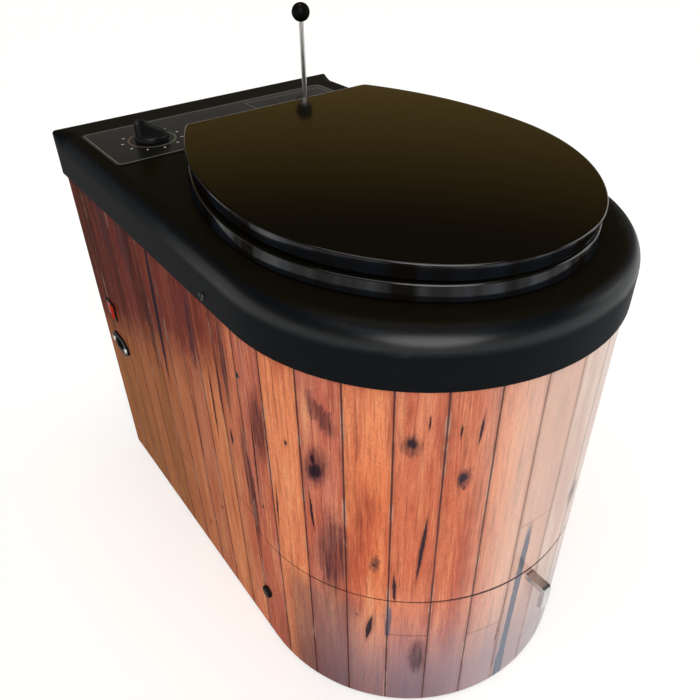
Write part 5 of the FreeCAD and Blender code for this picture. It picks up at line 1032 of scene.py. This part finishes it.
def dial_ink(settings):
    """Dial print that runs from red on the left through grey to green on the right."""
    finish = Finish("dial_ink")
    x = finish.split(finish.place)[0]
    side = (x - KNOB_AXIS.x) / (30 * MM) * 0.5 + 0.5
    shade = finish.mix(finish.grit(700, 2) * 0.3, finish.ramp(side, DIAL_TINTS), settings.film)
    return finish.surface(Base_Color=shade, Roughness=0.45)


def white_ink(settings):
    """Thin white print through which the film shows in places."""
    finish = Finish("white_ink")
    shade = finish.mix(finish.grit(900, 2) * 0.35, settings.tick, settings.film)
    return finish.surface(Base_Color=shade, Roughness=0.45)


def rocker_red(settings):
    """Tinted rocker with a paler moulded core and a faint painted glow that stands in for glints."""
    finish = Finish("rocker_red")
    depth = finish.grit(180, 2)
    return finish.coated(0.25, 0.08,
                         Base_Color=finish.mix(depth.ease(0.45, 0.7) * 0.5, settings.lens, settings.core),
                         Roughness=0.16 + 0.08 * depth, Emission_Color=settings.painted_glint, Emission_Strength=0.06)


# Metals, insulation and boards

def brushed(name, shade, stretch, roughness):
    """Metal with fine drawn lines along the axis that is stretched least."""
    finish = Finish(name)
    lines = finish.noise(finish.stretch(*stretch), detail=4, roughness=0.7)
    patch = finish.grit(14, 3)
    mixed = finish.mix(lines.ease(0.35, 0.7) * 0.6 + patch * 0.25, shaded(shade, 0.62), shade)
    return finish.surface(Base_Color=mixed, Metallic=1.0, Roughness=roughness + 0.14 * lines + 0.06 * patch,
                          Normal=finish.bump(lines, 0.06, 0.05 * MM))


def galvanised(works):
    """Zinc coated sheet with spangle."""
    finish = Finish("galvanised")
    cells = finish.node("ShaderNodeTexVoronoi", {"feature": "F1"},
                        {"Vector": finish.place, "Scale": 85.0, "Randomness": 1.0}, output="Color")
    facet = finish.split(cells)[0]
    dull = finish.grit(24, 4)
    shade = finish.ramp(facet * 0.7 + dull * 0.3, [(0.0, works.spangle_dark), (1.0, works.spangle)])
    return finish.surface(Base_Color=shade, Metallic=0.9, Roughness=0.32 + 0.22 * facet,
                          Normal=finish.bump(facet, 0.03, 0.1 * MM))


# Tints of steel from cool to hot: bare, straw, brown and blue
HEAT_TINTS = (
    (0.25, (0.52, 0.46, 0.38)), (0.42, (0.46, 0.30, 0.13)),
    (0.55, (0.28, 0.14, 0.12)), (0.70, (0.13, 0.17, 0.28)),
)


def hot_steel(works):
    """Steel that has been through many burns: straw, brown and blue heat tints and soot."""
    finish = Finish("hot_steel")
    tint = finish.ramp(finish.noise(finish.stretch(10, 10, 18), detail=4), HEAT_TINTS)
    soot = finish.grit(55, 5).ease(0.50, 0.72)
    return finish.surface(Base_Color=finish.mix(soot * 0.7, tint, works.soot), Metallic=0.85,
                          Roughness=0.36 + 0.35 * soot, Normal=finish.bump(soot, 0.15, 0.3 * MM))


def cast_iron(works):
    """Sand cast trap flap, rusted in patches."""
    finish = Finish("cast_iron")
    sand = finish.grit(520, 5, 0.7)
    rust = finish.grit(40, 5).ease(0.56, 0.74)
    return finish.surface(Base_Color=finish.mix(rust * 0.6, works.iron, works.rust), Metallic=0.35,
                          Roughness=0.58 + 0.2 * sand, Normal=finish.bump(sand, 0.45, 0.4 * MM))


def powder_coat(works):
    """Grey powder coat with orange peel and dust."""
    finish = Finish("powder_coat")
    dust = finish.grit(20, 5).ease(0.48, 0.75)
    return finish.surface(Base_Color=finish.mix(dust * 0.35, works.powder, works.dust),
                          Roughness=0.44 + 0.12 * dust,
                          Normal=finish.bump(finish.grit(380, 2), 0.25, 0.15 * MM))


def black_rubber(works):
    """Moulded rubber with a grey bloom."""
    finish = Finish("black_rubber")
    bloom = finish.grit(90, 4).ease(0.45, 0.7)
    return finish.surface(Base_Color=finish.mix(bloom * 0.5, works.rubber, works.bloom),
                          Roughness=0.72 + 0.12 * bloom,
                          Normal=finish.bump(finish.grit(900, 2), 0.2, 0.1 * MM))


def bearing_bronze(works):
    """Oil filled sintered bronze."""
    finish = Finish("bearing_bronze")
    pores = finish.grit(1500, 3)
    return finish.surface(Base_Color=finish.mix(finish.grit(60, 3), works.bronze, works.oil), Metallic=1.0,
                          Roughness=0.30 + 0.25 * pores, Normal=finish.bump(pores, 0.2, 0.05 * MM))


def mineral_wool(works):
    """Felted wool blanket with fibres lying round the chamber."""
    finish = Finish("mineral_wool")
    fibre = finish.noise(finish.stretch(160, 160, 900), detail=6, roughness=0.75)
    clump = finish.grit(45, 4)
    shade = finish.mix(fibre.ease(0.3, 0.7), works.wool_dark, works.wool)
    shade = finish.mix(clump.ease(0.5, 0.75) * 0.3, shade, works.wool_clump)
    return finish.surface(Base_Color=shade, Roughness=0.92, Normal=finish.bump(fibre + clump, 0.8, 1.2 * MM))


def fired_ceramic(works):
    """Washcoated catalyst block, browned at the hot end."""
    finish = Finish("fired_ceramic")
    y = finish.split(finish.place)[1]
    low, high = (corner.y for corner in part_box("catalyst"))
    coat = finish.grit(340, 5)
    shade = finish.mix(y.ease(high, low) * (0.5 + 0.5 * coat), works.ceramic, works.burnt)
    return finish.surface(Base_Color=shade, Roughness=0.8, Normal=finish.bump(coat, 0.3, 0.2 * MM))


def birch_ply(works):
    """Plywood deck: plies on the edge and long grain on the face."""
    finish = Finish("birch_ply")
    plies = 7
    z = finish.split(finish.place)[2]
    grain = finish.noise(finish.stretch(7, 150, 7), detail=5)
    low, high = (corner.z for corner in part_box("deck_plate"))
    ply = ((z - low) / ((high - low) / plies)).math("PINGPONG", 1)
    inside = (z - low).low(high - z).ease(0.2 * MM, 0.6 * MM)
    shade = finish.mix(grain.ease(0.35, 0.7), works.birch_dark, works.birch)
    shade = finish.mix(inside * ply.ease(0.4, 0.6) * 0.7, shade, works.ply)
    return finish.surface(Base_Color=shade, Roughness=0.62, Normal=finish.bump(grain, 0.15, 0.2 * MM))


# Operators, one for each piece or group of like pieces

class StepOperator:
    """What the steps share: their options and the scene's settings"""
    bl_options = {"REGISTER", "UNDO"}

    @staticmethod
    def settings():
        return bpy.context.scene.toilet


class TOILET_OT_plank_wrap(StepOperator, bpy.types.Operator):
    """Print the planks on the cabinet wrap and on the drawer front, unbroken across the seam"""
    bl_idname = "toilet.plank_wrap"
    bl_label = "Plank wrap"

    def execute(self, context):
        dress("plank_print_sheet", plank_print(self.settings().plank))
        return {"FINISHED"}


class TOILET_OT_top_cover(StepOperator, bpy.types.Operator):
    """Finish the formed top cover"""
    bl_idname = "toilet.top_cover"
    bl_label = "Top cover"

    def execute(self, context):
        dress("black_cover", cover_black(self.settings().moulding))
        return {"FINISHED"}


class TOILET_OT_seat_and_lid(StepOperator, bpy.types.Operator):
    """Make the seat ring and lid with leaning rims, lacquer them and the rod's ball, and finish the rubber"""
    bl_idname = "toilet.seat_and_lid"
    bl_label = "Seat and lid"

    def execute(self, context):
        settings = self.settings()
        lacquer = seat_lacquer(settings.moulding)
        dress("black_gloss", lacquer)
        dress("rubber", black_rubber(settings.works))
        for node, tilt in (("seat_ring", 0.0), ("lid", settings.seat.lid_tilt)):
            mesh = mesh_from(node + "_formed", self.builder(node, settings.seat, tilt))
            add_piece(node + "_formed", mesh, BODY_OF[node], lacquer, (node,))
        return {"FINISHED"}

    @staticmethod
    def builder(node, seat, tilt):
        """A function that builds the seat ring or the lid on the node's own sizes, level and then tilted."""
        hinge = Vector(JOINTS["lid_hinge"]["pos_m"])
        hinge.x = 0
        turn = Matrix.Rotation(tilt, 3, "X")
        level = Matrix.Translation(hinge) @ turn.transposed().to_4x4() @ Matrix.Translation(-hinge)
        low, high = front_span(node, level)
        thickness = high.z - low.z
        rear = hinge.y - seat.set_back
        # The slab reaches a little past the plane where the hinge eyes are cut off, so that they meet
        overlap, cut_back = 0.3 * MM, 0.05 * MM

        def build(shape):
            outline = egg_outline(seat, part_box(node)[1].x, low.y, rear + overlap)
            if node == "lid":
                profile = rim_profile(thickness, seat.seat_rim, seat.lid_rim)
                lofted(shape, drawn_in(outline, profile, low.z, (seat.lid_lean, 0.0), rear))
            else:
                profile = rim_profile(thickness, seat.seat_rim, seat.seat_rim)
                opening = hole_outline(seat, len(outline) // 2 + 1)
                inner = [(-inset, height) for inset, height in reversed(profile)]
                lofted(shape, drawn_in(outline, profile, low.z, (0.0, seat.seat_lean), rear)
                       + drawn_in(opening, inner, low.z, (0.0, 0.0), rear), ring=True)
            bmesh.ops.rotate(shape, cent=hinge, matrix=turn, verts=shape.verts)
            cut = hinge + turn @ Vector((0, cut_back - seat.set_back, 0))
            add_hinge_eyes(shape, node, cut, turn.col[1])

        return build


class TOILET_OT_control_label(StepOperator, bpy.types.Operator):
    """Print the label film and the dial round the timer knob"""
    bl_idname = "toilet.control_label"
    bl_label = "Control label"

    def execute(self, context):
        settings = self.settings()
        moulding, fitting = settings.moulding, settings.fitting
        dress("label_film", label_film(moulding))
        tree = dial_tree()
        centre = Vector((KNOB_AXIS.x, KNOB_AXIS.y, LABEL_HIGH.z + fitting.ink_height / 2))
        upright = Vector((0, 0, 1))
        # Name, kind of mark in the settings, start and sweep in degrees, and ink
        rings = (
            ("dial_dashes", "dash", 125, 290, dial_ink(moulding)),
            ("dial_ticks", "tick", 140, 262, white_ink(moulding)),
        )
        for name, kind, start, sweep, ink in rings:
            mesh = plain_mesh(name, point_mesh(name + "_point", [(centre, upright)]), tree, {
                "Count": getattr(fitting, kind + "_count"), "Ring": getattr(fitting, kind + "_ring"),
                "Mark Length": getattr(fitting, kind + "_length"),
                "Mark Width": getattr(fitting, kind + "_width"), "Ink Height": fitting.ink_height,
                "Start": math.radians(start), "Sweep": math.radians(sweep), "Material": ink})
            add_piece(name, mesh, "cabinet")
        return {"FINISHED"}


class TOILET_OT_timer_knob(StepOperator, bpy.types.Operator):
    """Make the timer knob: a round skirt with a wing that is tall at one end and runs down to a point"""
    bl_idname = "toilet.timer_knob"
    bl_label = "Timer knob"

    def execute(self, context):
        mesh = mesh_from("timer_wing_knob", self.build, smooth_angle=48)
        add_piece("timer_wing_knob", mesh, BODY_OF["timer_knob"],
                  fitting_black(self.settings().moulding), ("timer_knob",))
        return {"FINISHED"}

    @staticmethod
    def build(shape):
        """Build the skirt and the wing on the CAD knob's own sizes."""
        radius = (KNOB_HIGH.x - KNOB_LOW.x) / 2
        tall = KNOB_HIGH.z - KNOB_LOW.z
        skirt = tall * 0.25
        centre = Vector((KNOB_AXIS.x, KNOB_AXIS.y, KNOB_LOW.z))
        # The skirt's side and crown as shares of its radius and height
        crown = ((0.985, 0.6), (0.95, 0.9), (0.90, 1.0), (0.6, 1.12), (0.3, 1.18))
        profile = [(radius * 0.96, 0), (radius, 0.4 * MM)]
        profile += [(radius * wide, skirt * high) for wide, high in crown]
        turned(shape, profile, centre)
        # The wing's sections, from its tall end at one side of the skirt to its point at the other
        stations, sides = 28, 16
        start, reach = -0.90 * radius, 1.84 * radius
        half_width, end_drop, end_part, level_part = 4.6 * MM, 1.6 * MM, 0.10, 0.30
        foot = skirt * 0.5
        sections = []
        for step in range(stations + 1):
            along = step / stations
            fall = max(0.0, min(1.0, (along - level_part) / (1 - level_part)))
            top = tall - (tall - skirt * 1.05) * (fall ** 0.75)
            top -= end_drop * max(0.0, end_part - along) / end_part
            half = half_width * (1 - 0.55 * fall ** 1.6) * min(1.0, 0.55 + along * 6)
            rise = max(top - foot, 0.3 * MM)
            section = []
            for side in range(sides + 1):
                angle = math.pi * side / sides
                bulge = math.sin(angle) ** 0.55
                flare = 1 + 0.55 * (1 - bulge) ** 2
                spot = Vector((start + along * reach, half * math.cos(angle) * flare, foot + rise * bulge))
                section.append(centre + spot)
            sections.append(section)
        lofted(shape, sections)


class TOILET_OT_black_fittings(StepOperator, bpy.types.Operator):
    """Finish the switch, inlet, hinge posts, studs and other black fittings, and tint the rocker"""
    bl_idname = "toilet.black_fittings"
    bl_label = "Black fittings"

    def execute(self, context):
        moulding = self.settings().moulding
        dress("black_fitting", fitting_black(moulding))
        dress("red_lens", rocker_red(moulding))
        return {"FINISHED"}


class TOILET_OT_fasteners(StepOperator, bpy.types.Operator):
    """Make the cross recess screws of the wrap, the cover and the inlet"""
    bl_idname = "toilet.fasteners"
    bl_label = "Fasteners"

    def execute(self, context):
        fitting, works = self.settings().fitting, self.settings().works
        tree = screw_tree()
        even = (300, 300, 300)
        zinc = brushed("zinc_plate", works.zinc, even, 0.22)
        dark = brushed("black_zinc", works.black_zinc, even, 0.30)
        for node, material in (("wrap_screws", dark), ("cover_screws", dark), ("inlet_screws", zinc)):
            spots, head_radius, head_height = self.heads(node)
            mesh = plain_mesh(node + "_heads", point_mesh(node, spots), tree, {
                "Head Radius": head_radius, "Head Height": head_height,
                "Recess Length": 2 * head_radius * fitting.recess_share, "Recess Width": fitting.recess_width,
                "Recess Depth": fitting.recess_depth, "Material": material})
            mesh.shade_smooth()
            mesh.set_sharp_from_angle(angle=math.radians(40))
            add_piece(node + "_heads", mesh, BODY_OF[node], stands_for=(node,))
        return {"FINISHED"}

    @staticmethod
    def heads(node):
        """Place and facing of each head, and the heads' radius and height, found from the node's screws."""
        spots, sizes = [], []
        shape = merged_copy(node)
        left = set(shape.verts)
        while left:
            island, queue = set(), [next(iter(left))]
            while queue:
                vert = queue.pop()
                if vert in island:
                    continue
                island.add(vert)
                queue.extend(edge.other_vert(vert) for edge in vert.link_edges)
            left -= island
            points = [vert.co for vert in island]
            low, high = corners(points)
            middle = (low + high) / 2
            axis = max(range(3), key=lambda index: (high - low)[index])
            outward = 1 if middle[axis] > 0 else -1
            across = (axis + 1) % 3
            radius = (high[across] - low[across]) / 2
            tip = high[axis] if outward > 0 else low[axis]
            rim = [point[axis] for point in points if abs(point[across] - middle[across]) > radius * 0.98]
            height = max(abs(tip - level) for level in rim)
            spot, way = middle.copy(), Vector()
            spot[axis] = tip - outward * height
            way[axis] = outward
            spots.append((spot, way))
            sizes.append((radius, height))
        shape.free()
        if not spots:
            raise RuntimeError(f"{node} holds no screws")
        return spots, *sizes[0]


class TOILET_OT_bright_metal(StepOperator, bpy.types.Operator):
    """Finish the lift rod, pins, bowl, drawer pull and other bright metal"""
    bl_idname = "toilet.bright_metal"
    bl_label = "Bright metal"

    def execute(self, context):
        works = self.settings().works
        dress("stainless", brushed("stainless", works.stainless, (260, 260, 40), 0.20))
        dress("bare_bright", brushed("bare_bright", works.bright, (500, 60, 60), 0.13))
        dress("bush_bronze", bearing_bronze(works))
        return {"FINISHED"}


class TOILET_OT_burner(StepOperator, bpy.types.Operator):
    """Finish the burn chamber, element, jacket, catalyst and trap flap"""
    bl_idname = "toilet.burner"
    bl_label = "Burner"

    def execute(self, context):
        works = self.settings().works
        dress("hot_steel", hot_steel(works))
        dress("cast_flap", cast_iron(works))
        dress("mineral_wool", mineral_wool(works))
        dress("ceramic", fired_ceramic(works))
        return {"FINISHED"}


class TOILET_OT_sheet_works(StepOperator, bpy.types.Operator):
    """Finish the frame, linkage, ducts, back panel and deck board"""
    bl_idname = "toilet.sheet_works"
    bl_label = "Frame and ducts"

    def execute(self, context):
        works = self.settings().works
        dress("galvanised", galvanised(works))
        dress("grey_sheet", powder_coat(works))
        dress("plywood", birch_ply(works))
        return {"FINISHED"}


class TOILET_OT_stage(StepOperator, bpy.types.Operator):
    """Set the pale floor, the soft lamps, the room and the camera"""
    bl_idname = "toilet.stage"
    bl_label = "Stage"

    def execute(self, context):
        settings = self.settings().stage
        scene = context.scene
        self.add_floor(scene, settings)
        # Name, direction the light comes from, spread in degrees, strength and tint
        lamps = (
            ("key_light", (-0.42, -0.70, 0.58), 44, settings.key_strength, (1.0, 0.995, 0.985)),
            ("top_light", (-0.12, -0.10, 1.0), 60, settings.top_strength, (0.985, 0.99, 1.0)),
            ("side_light", (0.90, -0.30, 0.45), 30, settings.side_strength, (0.97, 0.985, 1.0)),
        )
        for name, source, spread, strength, tint in lamps:
            self.add_light(scene, name, Vector(source), math.radians(spread), strength, tint)
        self.add_room(scene, settings)
        self.add_camera(scene, settings)
        scene.view_settings.view_transform = "Standard"
        return {"FINISHED"}

    @staticmethod
    def add_floor(scene, settings):
        """A pale floor that keeps the object's shadow."""
        half = settings.floor_size / 2
        mesh = bpy.data.meshes.new("floor")
        outline = [(-half, -half, 0), (half, -half, 0), (half, half, 0), (-half, half, 0)]
        mesh.from_pydata(outline, [], [(0, 1, 2, 3)])
        finish = Finish("floor_paint")
        paint = finish.mix(finish.grit(1.5, 2), settings.floor, shaded(settings.floor, 0.985))
        lift = finish.mix(seen_rays(finish), (0, 0, 0), (settings.lift,) * 3)
        mesh.materials.append(finish.surface(Base_Color=paint, Roughness=0.7, Emission_Color=lift,
                                             Emission_Strength=1.0))
        floor = bpy.data.objects.new("floor", mesh)
        scene.collection.objects.link(floor)

    @staticmethod
    def add_room(scene, settings):
        """A dim room that looks white near the floor, then warm, then dark overhead."""
        world = bpy.data.worlds.new("room")
        world.use_nodes = True
        tree = NodeTree(world.node_tree)
        height = tree.split(tree.node("ShaderNodeTexCoord", output="Generated"))[2]
        stops = [(0.21, (1, 1, 1)), (0.27, settings.warm), (0.36, shaded(settings.warm, 0.75)),
                 (0.47, shaded(settings.warm, 0.04))]
        shade = tree.mix(seen_rays(tree), settings.fill, tree.ramp(height, stops))
        background = next(node for node in world.node_tree.nodes if node.type == "BACKGROUND")
        tree.feed(background.inputs["Color"], shade)
        scene.world = world

    @staticmethod
    def add_light(scene, name, source, spread, strength, tint):
        """A far, broad light that comes from a direction, so the floor is lit evenly."""
        data = bpy.data.lights.new(name, "SUN")
        data.angle = spread
        data.energy = strength
        data.color = tint
        light = bpy.data.objects.new(name, data)
        light.rotation_euler = source.to_track_quat("Z", "Y").to_euler()
        scene.collection.objects.link(light)

    @staticmethod
    def add_camera(scene, settings):
        """A camera at the photograph's place and angle."""
        yaw, pitch, roll = settings.yaw, settings.pitch, settings.roll
        ahead = Vector((math.sin(yaw) * math.cos(pitch), math.cos(yaw) * math.cos(pitch), -math.sin(pitch)))
        right = Vector((math.cos(yaw), -math.sin(yaw), 0))
        down = ahead.cross(right)
        across = right * math.cos(roll) + down * math.sin(roll)
        upward = right * math.sin(roll) - down * math.cos(roll)
        data = bpy.data.cameras.new("camera")
        data.sensor_width = 36
        data.lens = settings.lens
        data.clip_start = 0.01
        camera = bpy.data.objects.new("camera", data)
        turn = Matrix((across, upward, -ahead)).transposed()
        camera.matrix_world = Matrix.Translation(Vector(settings.camera_place)) @ turn.to_4x4()
        scene.collection.objects.link(camera)
        scene.camera = camera


STEPS = (TOILET_OT_plank_wrap, TOILET_OT_top_cover, TOILET_OT_seat_and_lid, TOILET_OT_black_fittings,
         TOILET_OT_control_label, TOILET_OT_timer_knob, TOILET_OT_bright_metal, TOILET_OT_fasteners,
         TOILET_OT_burner, TOILET_OT_sheet_works, TOILET_OT_stage)


class TOILET_PT_panel(bpy.types.Panel):
    """Lists the steps that finish the toilet"""
    bl_idname = "TOILET_PT_panel"
    bl_label = "Incinerating Toilet"
    bl_space_type = "VIEW_3D"
    bl_region_type = "UI"
    bl_category = "Toilet"

    def draw(self, context):
        for step in STEPS:
            self.layout.operator(step.bl_idname)
        settings = context.scene.toilet
        for part in settings.__annotations__:
            group = getattr(settings, part)
            box = self.layout.box()
            for name in group.__annotations__:
                box.prop(group, name)


CLASSES = (PlankSettings, MouldingSettings, SeatSettings, FittingSettings, WorksSettings, StageSettings,
           ToiletSettings, *STEPS, TOILET_PT_panel)


def register():
    for item in CLASSES:
        bpy.utils.register_class(item)
    bpy.types.Scene.toilet = PointerProperty(type=ToiletSettings, name="Toilet",
                                             description="Sizes and colours")


def unregister():
    del bpy.types.Scene.toilet
    for item in reversed(CLASSES):
        bpy.utils.unregister_class(item)


def main():
    register()
    for step in STEPS:
        group, name = step.bl_idname.split(".")
        getattr(getattr(bpy.ops, group), name)()


if __name__ == "__main__":
    main()
